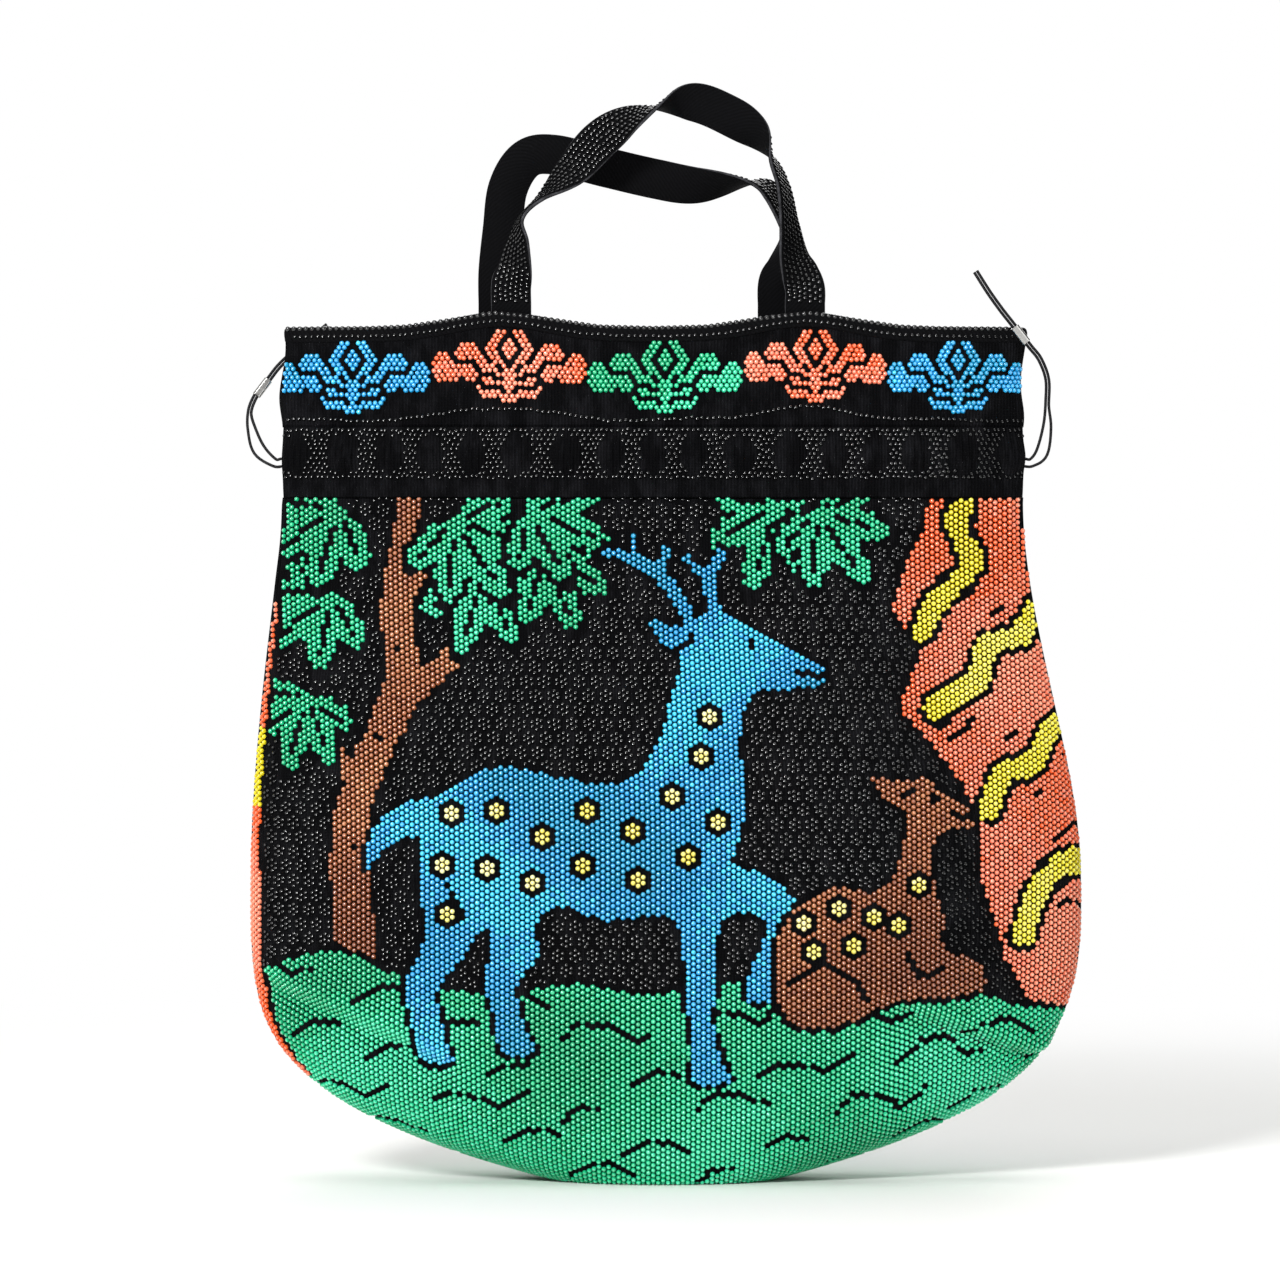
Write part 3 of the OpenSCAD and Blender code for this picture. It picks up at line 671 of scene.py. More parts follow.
# The picture, in mm on the panel: across from its middle, and up from the base. Outlines are drawn smooth
picture = {
    "column": 2.0, "pitch": 2.28, "beadR": 1.05, "gap": 1.75, "crease": 1.05, "seamGap": 1.3,
    "rosetteW": 7.0, "rosetteH": 5.75, "rosettePitch": 2.1, "rosetteStray": 0.16,
    "blackR": 0.93, "blackSink": 0.3, "columns": 88, "top": 272.6, "step": 0.5, "underSteps": 14,
    "spotGap": 2.2, "spotSize": 1.25, "stripGap": 2.6,
    "strataShifts": ((3, 15), (-2, -16)), "strataRun": 8, "strataRoom": 5, "bandRoom": 6,
    "grassRows": (76, -60, -16.0), "grassStep": 54.0, "grassRun": (7, 13),
    "grassTurns": ((24, 50), (-8, 14), (-46, -14), (18, 44)),
    "groundTop": [(-200, 82), (-168, 84), (-150, 90), (-130, 93), (-112, 86), (-92, 79), (-62, 77),
                  (-34, 81), (-8, 77), (18, 80), (44, 83), (70, 80), (92, 90), (112, 86), (130, 76),
                  (150, 70), (200, 66)],
    "rockEdge": [(114, 290), (108, 262), (100, 246), (95, 230), (106, 214), (101, 203), (96, 190),
                 (108, 176), (120, 160), (128, 142), (126, 124), (132, 108), (138, 90), (148, 74)],
    "bands": [
        ([(128, 282), (122, 264), (128, 248), (114, 234), (106, 222)], 4.4),
        ([(185, 250), (166, 240), (150, 222), (134, 214), (126, 199), (110, 190)], 4.8),
        ([(185, 190), (164, 184), (152, 168), (139, 164), (131, 150)], 4.6),
        ([(185, 124), (168, 128), (153, 118), (145, 100)], 5.0),
    ],
    # height, and how far the other side's rock comes round
    "leftStrip": [(36, 5), (60, 8), (100, 11), (150, 8.5), (190, 5.5), (232, 3), (246, 0)],
    "leftYellow": (150, 182),
    "limbs": [  # centre lines with half widths
        [(-126, 74, 9.5), (-123, 96, 8.8), (-126, 122, 8.0), (-125, 146, 7.4), (-117, 168, 7.0),
         (-107, 188, 7.2), (-102, 208, 6.8), (-104, 230, 6.4), (-101, 252, 5.6), (-97, 280, 4.6)],
        [(-106, 190, 5.2), (-90, 204, 4.6), (-74, 220, 3.8), (-66, 240, 3.0), (-63, 258, 2.4)],
        [(-121, 160, 4.2), (-134, 176, 3.6), (-141, 192, 2.6)],
        [(-102, 236, 4.4), (-88, 252, 3.8), (-74, 262, 3.2), (-56, 266, 2.6), (-38, 276, 2.2)],
        [(20, 279, 2.0), (40, 273, 2.6), (58, 270, 2.4), (74, 264, 1.8)],
    ],
    "knots": [(-113, 178, 1.6), (-104, 214, 1.6), (-124, 134, 1.6)],
    "leafHeart": (0.33, 0.37), "leafVein": (0.22, 0.78), "lobeHalf": 0.185,  # as shares of a leaf's size
    "leafLobes": [(-78, 0.72), (-39, 0.94), (0, 1.06), (39, 0.94), (78, 0.72)],  # turn and reach
    "leaves": [  # foot of the stem, size and the way the tip points
        (-142, 194, 29, 250), (-130, 236, 33, 218), (-126, 270, 35, 212), (-68, 246, 32, 252),
        (-44, 252, 30, 292), (-80, 266, 34, 304), (-50, 270, 33, 338), (50, 273, 34, 252),
        (66, 270, 32, 304),
    ],
    "stag": [
        (-84, 158), (-66, 167), (-42, 163), (-22, 160), (-9, 165), (0, 180), (6, 199), (10, 211), (2, 217),
        (-2, 226), (10, 224), (20, 229), (33, 227), (48, 217), (62, 210), (68, 205), (64, 200), (52, 198),
        (40, 197), (33, 186), (32, 170), (33, 154), (31, 140), (28, 128), (39, 125), (49, 118), (54, 108),
        (49, 95), (43, 84), (46, 75), (34, 74), (34, 84), (39, 97), (40, 105), (31, 109), (23, 104),
        (21, 84), (20, 64), (24, 50), (26, 42), (12, 42), (12, 54), (9, 76), (7, 98), (0, 108), (-22, 106),
        (-40, 111), (-50, 106), (-50, 92), (-58, 80), (-55, 64), (-51, 54), (-64, 53), (-67, 66), (-71, 82),
        (-68, 98), (-73, 102), (-80, 90), (-90, 78), (-87, 60), (-84, 48), (-97, 47), (-100, 62),
        (-103, 80), (-95, 100), (-98, 120), (-97, 138), (-108, 136), (-119, 126), (-116, 142), (-104, 152),
        (-95, 154),
    ],
    "antlers": [
        [(14, 226, 2.6), (6, 240, 2.6), (-6, 250, 2.3), (-20, 254, 2.0)], [(2, 244, 2.0), (6, 256, 1.8)],
        [(-8, 251, 1.9), (-8, 262, 1.6)], [(24, 228, 2.6), (22, 242, 2.4), (28, 254, 2.1)],
        [(22, 242, 2.0), (12, 252, 1.7)],
    ],
    "stagLines": [[(67, 203), (55, 205)], [(8, 214), (14, 219)], [(-86, 120), (-80, 108)]],
    "stagEye": (38, 216, 2.0),
    "doe": [
        (45, 84), (46, 100), (55, 113), (70, 119), (84, 117), (92, 124), (96, 138), (97, 149), (88, 154),
        (84, 162), (96, 161), (104, 162), (113, 156), (124, 148), (125, 143), (114, 141), (108, 135),
        (108, 122), (112, 108), (113, 95), (126, 89), (130, 79), (118, 75), (100, 74), (84, 69), (70, 64),
        (54, 64), (46, 72),
    ],
    "doeLines": [[(124, 146), (115, 148)], [(94, 155), (101, 157)],
                 [(50, 80), (64, 88), (77, 82), (81, 74)], [(113, 87), (103, 83), (97, 92)]],
    "doeEye": (109, 154, 1.7),
    "stagSpots": [(-84, 148), (-66, 150), (-48, 140), (-30, 150), (-12, 142), (4, 154), (16, 170),
                  (20, 188), (-88, 128), (-70, 126), (-52, 120), (-32, 128), (-10, 122), (10, 132),
                  (22, 144), (-86, 108)],
    "doeSpots": [(56, 104), (70, 110), (85, 107), (61, 93), (77, 96), (94, 103), (101, 120)],
}


def insideOf(x, z, outline):
    inside = np.zeros(len(x), dtype=bool)
    for (ax, az), (bx, bz) in zip(outline, np.roll(outline, -1, axis=0)):
        crosses = (az > z) != (bz > z)
        inside ^= crosses & (x < ax + (z - az) * (bx - ax) / (bz - az if bz != az else 1e-9))
    return inside


def lineDistance(x, z, line):
    best = np.full(len(x), 1e9)
    for a, b in zip(line[:-1], line[1:]):
        d = b - a
        t = np.clip(((x - a[0]) * d[0] + (z - a[1]) * d[1]) / max(d @ d, 1e-9), 0, 1)
        best = np.minimum(best, np.hypot(x - a[0] - t * d[0], z - a[1] - t * d[1]))
    return best


def limbOutline(limb):  # outline of a tapering branch
    line = smoothPath(limb, 6)
    side = unit(np.gradient(line[:, :2], axis=0))[:, ::-1] * [1, -1]
    wide = line[:, 2:3] * (1 + 0.06 * np.sin(np.arange(len(line)) * 1.1))[:, None]
    return np.vstack([line[:, :2] + side * wide, (line[:, :2] - side * wide)[::-1]])


gapCode, groundCode = 0, -1
codes = {"blue": 1, "green": 2, "brown": 3, "coral": 4, "yellow": 5, "pale": 6}


def paintPicture(x, z, room):  # a colour code for each lattice place: later figures lie over earlier ones
    code = np.full(len(x), groundCode)

    def fill(outline, colour):
        closed = np.vstack([outline, outline[:1]])
        inside = insideOf(x, z, outline)
        code[~inside & (lineDistance(x, z, closed) < picture["gap"])] = gapCode
        code[inside] = codes[colour]
        return inside

    def crease(line, within, wide=1.0):
        on = within & (lineDistance(x, z, np.asarray(line, float)) < picture["crease"] * wide)
        if on.sum() > 2:
            code[on] = gapCode

    def spots(places, within):
        for spot in places:
            near = np.where(within, np.hypot(x - spot[0], z - spot[1]), 1e9)
            middle = np.argmin(near)
            if near[middle] > 4:
                continue
            away = np.hypot(x - x[middle], z - z[middle])
            code[within & (away < picture["spotGap"] * picture["pitch"])] = gapCode
            code[within & (away < picture["spotSize"] * picture["pitch"])] = codes["pale"]

    def dot(place, within=True):
        code[within & (np.hypot(x - place[0], z - place[1]) < place[2])] = gapCode

    rock = np.array(picture["rockEdge"] + [(200, 60), (200, 290)], float)
    within = fill(rock, "coral")
    clear = within & (lineDistance(x, z, rock) > picture["strataRoom"])
    for line, half in picture["bands"]:
        clear &= lineDistance(x, z, smoothPath(line, 3)) > half + picture["bandRoom"]
    for line, half in picture["bands"]:  # broken lines that follow the bands, as strata do
        for shift in picture["strataShifts"]:
            strata = smoothPath(np.array(line, float) + shift, 4)
            for start in range(0, len(strata) - 3, picture["strataRun"] + 3):
                dash = strata[start:start + picture["strataRun"]]
                crease(dash, clear, 0.9)
                clear &= lineDistance(x, z, dash) > picture["strataRoom"]
    for line, half in picture["bands"]:
        away = lineDistance(x, z, smoothPath(line, 3)) + 0.5 * np.sin(x / 3.1) + 0.5 * np.sin(z / 2.7)
        code[within & (away < half + 1.3 * picture["gap"])] = gapCode
        code[within & (away < half)] = codes["yellow"]
    width = np.interp(z, *np.array(picture["leftStrip"], float).T, left=0, right=0)
    low, high = picture["leftYellow"]
    strip = (x < 0) & (width > 0)
    besideStrip = strip & (room < width + picture["stripGap"])
    code[besideStrip] = gapCode
    code[strip & (room < width)] = codes["coral"]
    code[strip & (room < width) & (z > low) & (z < high)] = codes["yellow"]
    stripCode = code[besideStrip]
    limbs = [limbOutline(limb) for limb in picture["limbs"]]
    for outline in limbs:
        fill(outline, "brown")
    for outline in limbs:  # the branches grow from the trunk, so no gap is left where they join
        code[insideOf(x, z, outline)] = codes["brown"]
    for knot in picture["knots"]:
        dot(knot)
    ground = np.vstack([(-200, -60), smoothPath(picture["groundTop"], 4), (200, -60)])
    within = fill(ground, "green")
    creaseRng = np.random.default_rng(8)  # short wandering lines in staggered rows, as tufts of grass
    for level, height in enumerate(np.arange(*picture["grassRows"])):
        for start in np.arange(-176 + picture["grassStep"] / 2 * (level % 2), 170, picture["grassStep"]):
            line = [np.array([start, height]) + creaseRng.uniform(-4, 4, 2)]
            for low, high in picture["grassTurns"]:
                way = math.radians(creaseRng.uniform(low, high))
                run = creaseRng.uniform(*picture["grassRun"])
                line.append(line[-1] + run * np.array([math.cos(way), math.sin(way)]))
            crease(line[:creaseRng.integers(3, 6)], within, 0.9)
    for footX, footZ, size, way in picture["leaves"]:
        axis = math.radians(way)
        lobes = [(axis + math.radians(turn), reach * size) for turn, reach in picture["leafLobes"]]
        up, wide = picture["leafHeart"]
        heart = (footX + up * size * math.cos(axis), footZ + up * size * math.sin(axis))
        away = np.hypot(x - heart[0], z - heart[1]) - wide * size
        for lobeWay, reach in lobes:
            dx, dz = math.cos(lobeWay), math.sin(lobeWay)
            along = (x - footX) * dx + (z - footZ) * dz
            across = -(x - footX) * dz + (z - footZ) * dx
            half = picture["lobeHalf"] * size * (1 + 0.14 * np.sin(along * 0.95))  # a toothed edge
            lobe = np.sqrt(((along - 0.55 * reach) / (0.47 * reach)) ** 2 + (across / half) ** 2) - 1
            away = np.minimum(away, lobe * picture["lobeHalf"] * size)
        code[(away >= 0) & (away < picture["gap"])] = gapCode
        within = away < 0
        code[within] = codes["green"]
        for lobeWay, reach in lobes:
            tip = np.array([math.cos(lobeWay), math.sin(lobeWay)])
            vein = [np.array([footX, footZ]) + share * reach * tip for share in picture["leafVein"]]
            crease(vein, within, 0.9)
    antlers = [limbOutline(limb) for limb in picture["antlers"]]
    for outline in antlers:
        fill(outline, "blue")
    within = fill(smoothPath(picture["stag"] + picture["stag"][:1], 4)[:-1], "blue")
    for outline in antlers:
        code[insideOf(x, z, outline)] = codes["blue"]
    spots(picture["stagSpots"], within)
    for line in picture["stagLines"]:
        crease(line, within)
    dot(picture["stagEye"], within)
    within = fill(smoothPath(picture["doe"] + picture["doe"][:1], 4)[:-1], "brown")
    spots(picture["doeSpots"], within)
    for line in picture["doeLines"]:
        crease(line, within)
    dot(picture["doeEye"], within)
    code[besideStrip] = stripCode  # the strip at the left edge belongs to the other side
    return code


# Lattice: upright columns at even arc lengths from the panel's middle, with places at even steps down each
# column
heights = np.concatenate([np.arange(picture["top"], 0.2, -picture["step"]), [0.1]])
columns = np.arange(-picture["columns"], picture["columns"] + 1)
tables = [arcTable(h) for h in heights]
turnTable = np.array([angleAt(columns * picture["column"], t) for t in tables])
edgeRoom = np.array([t[-1] for t in tables])[:, None] - np.abs(columns * picture["column"])[None]


def latticePlaces(middle, pitch, depth):
    # centres, normals, picture places, room to the side seam and height over the base seam
    places, facing, flat, room, overSeam = [], [], [], [], []
    for k, column in enumerate(columns):
        rows = np.flatnonzero(edgeRoom[:, k] > picture["seamGap"])
        angle, z = middle + turnTable[rows, k], heights[rows]
        points, normals = form(angle, z, depth), outward(angle, z)
        if rows[-1] == len(heights) - 1:  # this column goes on under the bag
            last = points[-1]
            share = np.linspace(0.08, 1, picture["underSteps"])[:, None]
            ends = np.array([last[0], -0.7 * math.cos(middle), depth])
            points = np.vstack([points, last + (ends - last) * share])
            normals = np.vstack([normals, np.repeat([[0, 0, -1.0]], len(share), axis=0)])
        down = lengthsTo(points)
        up = bag["bellyH"] + np.interp(-bag["bellyH"], -z, down[:len(z)]) - down
        first = pitch * (0.5 if column % 2 else 0.0)
        lowest, highest = math.ceil((up[-1] - first) / pitch), math.floor((up[0] - first) / pitch)
        want = np.arange(lowest, highest + 1) * pitch + first
        places.append(rowsAt(want, up[::-1], points[::-1]))
        facing.append(unit(rowsAt(want, up[::-1], normals[::-1])))
        flat.append(np.column_stack([np.full(len(want), column * picture["column"]), want]))
        room.append(np.interp(want, up[:len(z)][::-1], edgeRoom[rows, k][::-1]))
        below = baseEdge(angle) - z
        seamUp = np.interp(0, below, up[:len(z)]) if below[-1] > 0 else -999
        overSeam.append(want - seamUp)
    return [np.concatenate(v) for v in (places, facing, flat, room, overSeam)]


def placesAt(flat, known):  # the lattice's surface at other picture places, by the nearest lattice place
    column = np.clip(np.round(flat[:, 0] / picture["column"]), columns[0], columns[-1])
    found = np.full(len(flat), -1)
    order = np.lexsort((known[:, 1], known[:, 0]))
    starts = np.searchsorted(known[order, 0], columns * picture["column"] - 0.01)
    ends = np.searchsorted(known[order, 0], columns * picture["column"] + 0.01)
    for k, c in enumerate(columns):
        chosen = np.flatnonzero(column == c)
        if len(chosen) and ends[k] > starts[k]:
            levels = known[order[starts[k]:ends[k]], 1]
            near = np.clip(np.searchsorted(levels, flat[chosen, 1]), 1, len(levels) - 1)
            near -= (flat[chosen, 1] - levels[near - 1]) < (levels[near] - flat[chosen, 1])
            gone = np.abs(levels[near] - flat[chosen, 1]) > 1.6
            gone |= np.abs(flat[chosen, 0] - c * picture["column"]) > 1.01
            found[chosen] = np.where(gone, -1, order[starts[k] + near])
    return found


ring = np.radians(np.arange(30, 390, 60))
petals = np.vstack([[(0, 0)], picture["rosettePitch"] * np.column_stack([np.cos(ring), np.sin(ring)])])
middles = np.array([((c + 0.5 * (r % 2)) * picture["rosetteW"], r * picture["rosetteH"])
                    for r in range(-12, 60) for c in range(-28, 29)])
for side, middle in bothFaces:
    places, facing, flat, room, overSeam = latticePlaces(middle, picture["pitch"], picture["beadR"])
    code = paintPicture(flat[:, 0], flat[:, 1], room)
    for colour, number in codes.items():
        for part, slot, chosen in (("", "picture_beadwork", overSeam >= 0),
                                   ("base_", "base_beadwork", overSeam < 0)):
            chosen = chosen & (code == number)
            if chosen.any():
                makeBeads(f"{side}_{part}{colour}_beads", places[chosen], facing[chosen], picture["beadR"],
                          colour, toneOf(flat[chosen, 0], flat[chosen, 1]))
    # the dark ground: rosettes of seven black beads on a staggered grid
    stray = rng.normal(0, picture["rosetteStray"], (len(middles), len(petals), 2))
    spots = (middles[:, None] + petals[None] + stray).reshape(-1, 2)
    known = placesAt(spots, flat)
    spots, known = spots[known >= 0], known[known >= 0]
    free = paintPicture(spots[:, 0], spots[:, 1], room[known]) == groundCode
    spots, known = spots[free], known[free]
    normal = facing[known]
    upright = unit(np.array([0, 0, 1.0]) - normal * normal[:, 2:3])
    sideways = np.cross(upright, normal)
    offset = spots - flat[known]
    centres = places[known] + sideways * offset[:, :1] + upright * offset[:, 1:]
    centres = centres - normal * (picture["beadR"] - picture["blackR"]) * picture["blackSink"]
    makeBeads(f"{side}_ground_beads", centres, normal, picture["blackR"])
    print(side, "picture:", len(places), "lattice places,", len(centres), "ground beads")

# Hour-glass clusters on the casing: a band of beads that leaves the windows free
for side, middle in bothFaces:
    spots = []
    for r in range(-6, 7):
        level = r * casing["row"]
        if abs(level) > casing["beadBand"]:
            continue
        arcs = np.arange(-75, 76) * casing["pitch"] + (casing["pitch"] / 2 if r % 2 else 0)
        offWindow = (windowOffset(arcs) / casing["windowW"]) ** 2 + (level / casing["windowH"]) ** 2
        keep = (np.abs(arcs) < mouthArc[-1] - casing["endRoom"]) & (offWindow > casing["windowRoom"])
        spots += [(arc, casing["middle"] + level) for arc in arcs[keep]]
    spots = np.array(spots) + rng.normal(0, casing["stray"], (len(spots), 2))
    angle = middle + angleAt(spots[:, 0], mouthArc)
    normal = outward(angle, spots[:, 1])
    centres = casingForm(angle, spots[:, 1]) + normal * casing["beadR"] * casing["beadOut"]
    makeBeads(f"{side}_casing_beads", centres, normal, casing["beadR"])

# Palmettes on the border: rows of beads from the foot up, as runs of columns from the middle line, mirrored
palmette = {
    "row": 1.7, "beadR": 1.06, "foot": 307.2, "out": 0.25, "stray": 0.1, "room": 1.2, "follow": 0.75,
    "middles": [(-120.5, "blue", 2.26), (-57.5, "coral", 2.24), (4.8, "green", 2.24), (65.0, "coral", 2.06),
                (122.5, "blue", 2.06)],
    "runs": [
        [(0, 1)], [(0.5, 4.5)], [(0, 0), (2, 5)], [(0.5, 0.5), (5.5, 5.5)], [(0, 4)],
        [(0.5, 0.5), (3.5, 4.5), (6.5, 7.5), (9.5, 12.5)], [(0, 2), (6, 13)],
        [(0.5, 0.5), (2.5, 4.5), (6.5, 13.5)], [(1, 1), (3, 5), (7, 13)],
        [(1.5, 2.5), (4.5, 5.5), (10.5, 13.5)], [(0, 0), (2, 3), (5, 9), (11, 13)],
        [(0.5, 0.5), (2.5, 3.5), (5.5, 9.5), (11.5, 12.5)], [(0, 1), (3, 4), (6, 9)],
        [(0.5, 0.5), (2.5, 3.5), (6.5, 8.5)], [(0, 0), (2, 3)], [(1.5, 2.5)], [(1, 2)],
    ],
}
chart = []
for r, runs in enumerate(palmette["runs"]):
    for low, high in runs:
        for column in np.arange(low, high + 0.1):
            chart += [(column, r)] if column == 0 else [(column, r), (-column, r)]
chart = np.array(chart) * [1, palmette["row"]]


def onBorder(middle, arcs, levels, out):  # places on the border, by arc length from the middle of the side
    angle = middle + angleAt(arcs, mouthArc)
    normal = outward(angle, levels)
    return borderForm(angle, levels, border["outDepth"]) + normal * out, normal


for side, middle in bothFaces:
    for number, (arc, colour, pitch) in enumerate(palmette["middles"]):
        arcs = arc + chart[:, 0] * pitch + rng.normal(0, palmette["stray"], len(chart))
        lift = (rimHeight(angleAt(arcs * 0.4 + arc * 0.6, mouthArc)) - bag["height"]) * palmette["follow"]
        levels = palmette["foot"] + chart[:, 1] + lift + rng.normal(0, palmette["stray"], len(chart))
        keep = np.abs(arcs) < mouthArc[-1] - palmette["room"]
        centres, normal = onBorder(middle, arcs[keep], levels[keep], palmette["out"])
        makeBeads(f"{side}_palmette_{number + 1}", centres, normal, palmette["beadR"], colour,
                  toneOf(arcs[keep] * 1.6, levels[keep] * 1.6))
    # a single row of black beads under the palmettes
    arcs = np.arange(-68, 69) * border["rowPitch"]
    arcs = arcs + rng.normal(0, border["rowStray"][0], len(arcs))
    levels = border["rowHeight"] + border["rowFollow"] * (rimHeight(angleAt(arcs, mouthArc)) - bag["height"])
    levels = levels + 0.5 * np.sin(arcs / 8) + rng.normal(0, border["rowStray"][1], len(arcs))
    keep = np.abs(arcs) < mouthArc[-1] - border["rowRoom"]
    centres, normal = onBorder(middle, arcs[keep], levels[keep], border["rowOut"])
    makeBeads(f"{side}_border_row", centres, normal, border["rowR"])
    # a second row along the binding, below the row on its top
    arcs = np.arange(-60, 61) * binding["beadPitch"]
    arcs = arcs + rng.normal(0, binding["stray"], len(arcs))
    angle = middle + angleAt(arcs, mouthArc)
    levels = rimHeight(angle) - binding["beadDrop"] + rng.normal(0, binding["stray"], len(arcs))
    normal = outward(angle, levels)
    centres = borderForm(angle, levels, binding["beadDepth"]) + normal * binding["beadOut"]
    makeBeads(f"{side}_binding_row", centres, normal, binding["beadR"])
print("casing clusters and palmettes made")

# Handles: a strap of doubled tape with a beaded face, sewn inside the rim
# A route's points: share of half the span, share of the rise, twist
handles = {
    "hingeZ": 350.4, "tabLow": 316.5, "width": 16.0, "faceT": 1.6, "tapeT": 0.9, "clothFace": 0.55,
    "steps": 12, "legSteps": 24, "columns": 7, "across": 2.05, "rows": 2.0, "beadR": 0.9, "beadOut": 0.12,
    "bareFoot": 0.5, "stray": 0.16,
    "bend": (-4, 5),  # two heights, below and above the hinge line
    "front": {
        "middle": -2, "span": 117, "rise": 80, "y": -9.605, "out": -1,
        "route": [
            (-1, 0, 0), (-1, 0.09, 0), (-0.98, 0.18, 32), (-0.96, 0.30, 58), (-0.94, 0.42, 84),
            (-0.80, 0.53, 80), (-0.58, 0.67, 30), (-0.40, 0.81, 8), (-0.20, 0.92, 46), (0.02, 0.98, 96),
            (0.24, 1, 160), (0.46, 0.94, 178), (0.66, 0.85, 140), (0.78, 0.72, 84), (0.86, 0.58, 72),
            (0.90, 0.40, 62), (0.93, 0.24, 44), (0.97, 0.15, 20), (1, 0.07, 0), (1, 0, 0),
        ],
    },
    "back": {
        "middle": -10, "span": 112, "rise": 60, "y": 9.679, "out": 1,
        "route": [
            (-1, 0, 0), (-1, 0.22, 0), (-0.97, 0.50, 4), (-0.93, 0.78, 4), (-0.80, 0.97, 0), (-0.60, 1, 0),
            (-0.25, 0.92, 0), (0.12, 0.84, 4), (0.40, 0.80, 26), (0.76, 0.82, 84), (0.94, 0.78, 118),
            (1.02, 0.64, 112), (1.05, 0.46, 88), (1.04, 0.28, 46), (1, 0.12, 0), (1, 0, 0),
        ],
    },
}
for hand in ("front", "back"):
    spec = handles[hand]
    route = []
    for px, pz, twist in spec["route"]:
        x, z = spec["middle"] + px * spec["span"] / 2, handles["hingeZ"] + pz * spec["rise"]
        route.append((x, spec["y"], z, twist))
    line = smoothPath(route, handles["steps"])
    leg = handles["legSteps"]
    foot = np.linspace(handles["tabLow"], handles["hingeZ"], leg, endpoint=False)
    legs = [np.column_stack([np.full(leg, end[0]), np.full(leg, spec["y"]), foot, np.zeros(leg)])
            for end in (route[0], route[-1])]
    line = np.vstack([legs[0], line, legs[1][::-1]])
    path = line[:, :3]
    step = lengthsTo(path)
    heading = unit(np.gradient(path, axis=0))
    heading[:leg], heading[-leg:] = (0, 0, 1), (0, 0, -1)
    flatWay = unit(np.cross(heading, (0, 1, 0)))
    twist = np.radians(line[:, 3:4])
    across = flatWay * np.cos(twist) - spec["out"] * np.array([0, 1.0, 0]) * np.sin(twist)
    face = -spec["out"] * np.cross(heading, across)
    centre = path - face * (handles["faceT"] - handles["tapeT"]) / 2
    half, back, front = handles["width"] / 2, -handles["tapeT"], handles["clothFace"]
    edge = [(half - 0.5, back), (half - 0.1, back * 0.6), (half, -0.1), (half - 0.25, front * 0.8),
            (half - 0.8, front)]
    mirrored = [(-s, t) for s, t in edge]
    # once round the strap's section
    ring = mirrored[:1] + [(0, back)] + edge + [(0, front)] + mirrored[:0:-1]
    points = np.stack([centre + across * s + face * t for s, t in ring], 1)
    count, cols = points.shape[:2]
    quads = gridQuads(count, cols, colLoop=True)
    edges = np.isin(quads[:, 0] % cols, (3, 4, 9, 10)).astype(int)  # the ring's strips of selvedge
    caps = np.array([np.arange(cols)[::-1], (count - 1) * cols + np.arange(cols)])
    if spec["out"] < 0:
        quads, caps = quads[:, ::-1], caps[:, ::-1]
    lanes = np.array([s for s, t in ring])[None]
    uv = np.stack(np.broadcast_arrays(lanes, step[:, None]), -1).reshape(-1, 2) * mm
    joinLow, joinHigh = ((0, spec["y"] * mm, (handles["hingeZ"] + up) * mm) for up in handles["bend"])
    strap = makePiece(f"{hand}_strap", points.reshape(-1, 3), [quads, caps], [tapeMaterial, edgeMaterial],
                      np.concatenate([edges, [0, 0]]), uv)
    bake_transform(strap)
    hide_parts(f"{hand}_handle_tape", f"{hand}_handle_face", f"{hand}_left_tab",
                f"{hand}_right_tab")
    low = leg + np.searchsorted(step[leg:] - step[leg], handles["bareFoot"])
    high = len(step) - 1 - (leg + np.searchsorted(step[-leg - 1] - step[:-leg][::-1], handles["bareFoot"]))
    spots = []
    for k in range(handles["columns"]):
        lane = (k - (handles["columns"] - 1) / 2) * handles["across"]
        start = step[low] + (handles["rows"] / 2 if k % 2 else 0)
        spots += [(lane, s) for s in np.arange(start, step[high], handles["rows"])]
    spots = np.array(spots) + rng.normal(0, handles["stray"], (len(spots), 2))
    middles, sideways, normal = (rowsAt(spots[:, 1], step, v) for v in (centre, across, face))
    normal = unit(normal)
    centres = middles + sideways * spots[:, :1] + normal * (handles["clothFace"] + handles["beadOut"])
    makeBeads(f"{hand}_strap_beads", centres, normal, handles["beadR"],
              blend=("bag", f"{hand}_handle", joinLow, joinHigh))
print("handles made;", beadCount, "beads in all")

# Pieces that keep their solid shape take the finish of the real thing
for material, names in (
        (polishedMaterial, ("front_rim_beads", "back_rim_beads")),
        (crimpMaterial, ("left_crimp", "right_crimp")),
        (cordMaterial, ("left_cord_feed", "right_cord_feed", "front_casing_cords", "back_casing_cords"))):
    for name in names:
        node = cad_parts[name]
        node.data.materials.clear()
        node.data.materials.append(material)

# Stage: a pale floor that sweeps up behind and at the left, lit softly from the front, above and behind
stage = {
    "floor": "#F2F2F0", "right": 3.6, "front": -3.8, "back": 3.2, "left": -3.2, "corner": 0.8, "bend": 0.7,
    "height": 4.0, "fadeFrom": 0.36, "fadeTo": 0.95, "sky": 0.09, "skyline": (0.11, 0.2),
    "lamps": {  # place, aim, power in watts and width in metres
        "key": ((-0.85, -1.75, 1.15), (0, 0, 0.2), 46, 0.45),
        "fill": ((1.5, -1.6, 0.75), (0, 0, 0.2), 8, 1.2),
        "top": ((0.0, 0.1, 2.2), (0, 0, 0), 34, 2.2), "rear": ((0.3, 2.2, 1.5), (0, 0, 0.2), 23, 1.6),
    },
}


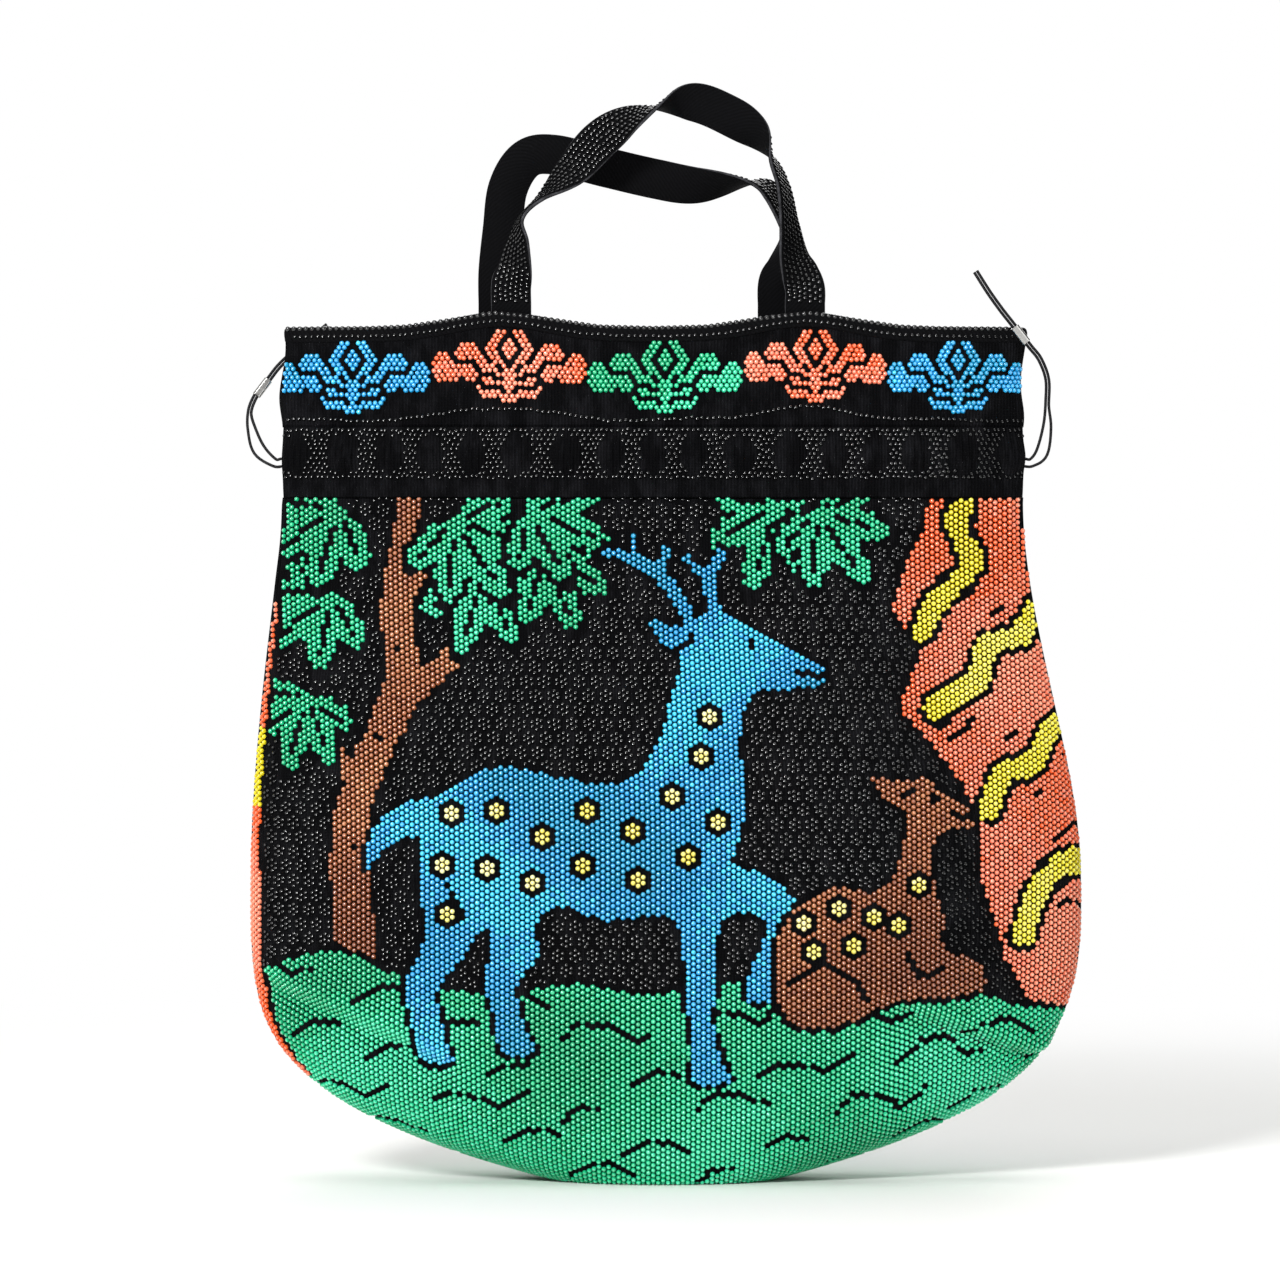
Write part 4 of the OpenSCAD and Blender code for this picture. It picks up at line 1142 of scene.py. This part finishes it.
def seenRays(tree):  # 1 for what the camera sees, straight or in a mirror or glass
    rays = addNode(tree, "ShaderNodeLightPath")
    seen = addNode(tree, "ShaderNodeMath", {"operation": "MAXIMUM"},
                   links={0: (rays, "Is Camera Ray"), 1: (rays, "Is Glossy Ray")})
    return addNode(tree, "ShaderNodeMath", {"operation": "MAXIMUM"},
                   links={0: (seen, 0), 1: (rays, "Is Transmission Ray")})


# Painted paper: dead matt and near white. Away from the bag it is plain white to the camera, and close by
# it takes the shadow
floorMaterial, tree, shader = newMaterial("mattPaintedPaper", {
    "Base Color": linear(stage["floor"]), "Roughness": 0.95, "Specular IOR Level": 0.1})
place = addNode(tree, "ShaderNodeNewGeometry")
away = addNode(tree, "ShaderNodeVectorMath", {"operation": "LENGTH"}, links={0: (place, "Position")})
fade = addNode(tree, "ShaderNodeMapRange", {"interpolation_type": "SMOOTHSTEP"},
               {"From Min": stage["fadeFrom"], "From Max": stage["fadeTo"]}, {"Value": (away, "Value")})
share = addNode(tree, "ShaderNodeMath", {"operation": "MULTIPLY"},
                links={0: (seenRays(tree), 0), 1: (fade, "Result")})
white = addNode(tree, "ShaderNodeEmission", None, {"Color": linear("#FFFFFF"), "Strength": 1.0})
mix = addNode(tree, "ShaderNodeMixShader", links={0: (share, 0), 1: (shader, 0), 2: (white, 0)})
tree.links.new(mix.outputs[0], tree.nodes["Material Output"].inputs["Surface"])
turn = np.linspace(math.pi / 2, math.pi, 13)
plan = [(stage["right"], stage["back"], 0, 1)]
for t in turn:
    plan.append((stage["left"] + stage["corner"] * (1 + math.cos(t)),
                 stage["back"] - stage["corner"] * (1 - math.sin(t)), math.cos(t), math.sin(t)))
plan = np.array(plan + [(stage["left"], stage["front"], -1, 0)])
turn = np.linspace(0, math.pi / 2, 17)
rise = [(stage["bend"] * math.sin(t), stage["bend"] * (1 - math.cos(t))) for t in turn]
rise.append((stage["bend"], stage["height"]))
points = [(px + nx * out, py + ny * out, up) for out, up in rise for px, py, nx, ny in plan]
points = np.array(points + [(stage["right"], stage["front"], 0)])
flatPart = np.append(np.arange(len(plan)), len(points) - 1)[None]
floor = makePiece("floor", points / mm, [gridQuads(len(rise), len(plan)), flatPart], [floorMaterial])
floor.data.shade_flat()
for name, (spot, target, power, size) in stage["lamps"].items():
    lamp = bpy.data.lights.new(name, "AREA")
    lamp.energy, lamp.size = power, size
    lampObject = addObject(name, lamp)
    lampObject.location = spot
    aim = np.array(target) - np.array(spot)
    tip = math.acos(-aim[2] / np.linalg.norm(aim))
    lampObject.rotation_euler = (tip, 0, math.atan2(aim[1], aim[0]) - math.pi / 2)
world = bpy.data.worlds.new("studio")
bpy.context.scene.world = world
world.use_nodes = True
tree = world.node_tree
# The room's open sides are white to the camera up to a little over the horizon, and dim above
place = addNode(tree, "ShaderNodeTexCoord")
height = addNode(tree, "ShaderNodeSeparateXYZ", links={0: (place, "Generated")})
low = addNode(tree, "ShaderNodeMapRange", {"interpolation_type": "SMOOTHSTEP"},
              {"From Min": stage["skyline"][0], "From Max": stage["skyline"][1],
               "To Min": 1.0, "To Max": 0.0}, {"Value": (height, "Z")})
share = addNode(tree, "ShaderNodeMath", {"operation": "MULTIPLY"},
                links={0: (seenRays(tree), 0), 1: (low, "Result")})
strength = addNode(tree, "ShaderNodeMapRange", None, {"To Min": stage["sky"], "To Max": 1.0},
                   {"Value": (share, 0)})
tree.nodes["Background"].inputs["Color"].default_value = linear("#FFFFFF")
tree.links.new(strength.outputs["Result"], tree.nodes["Background"].inputs["Strength"])
bpy.context.scene.view_settings.view_transform = "Standard"
print("stage, lamps and world made")
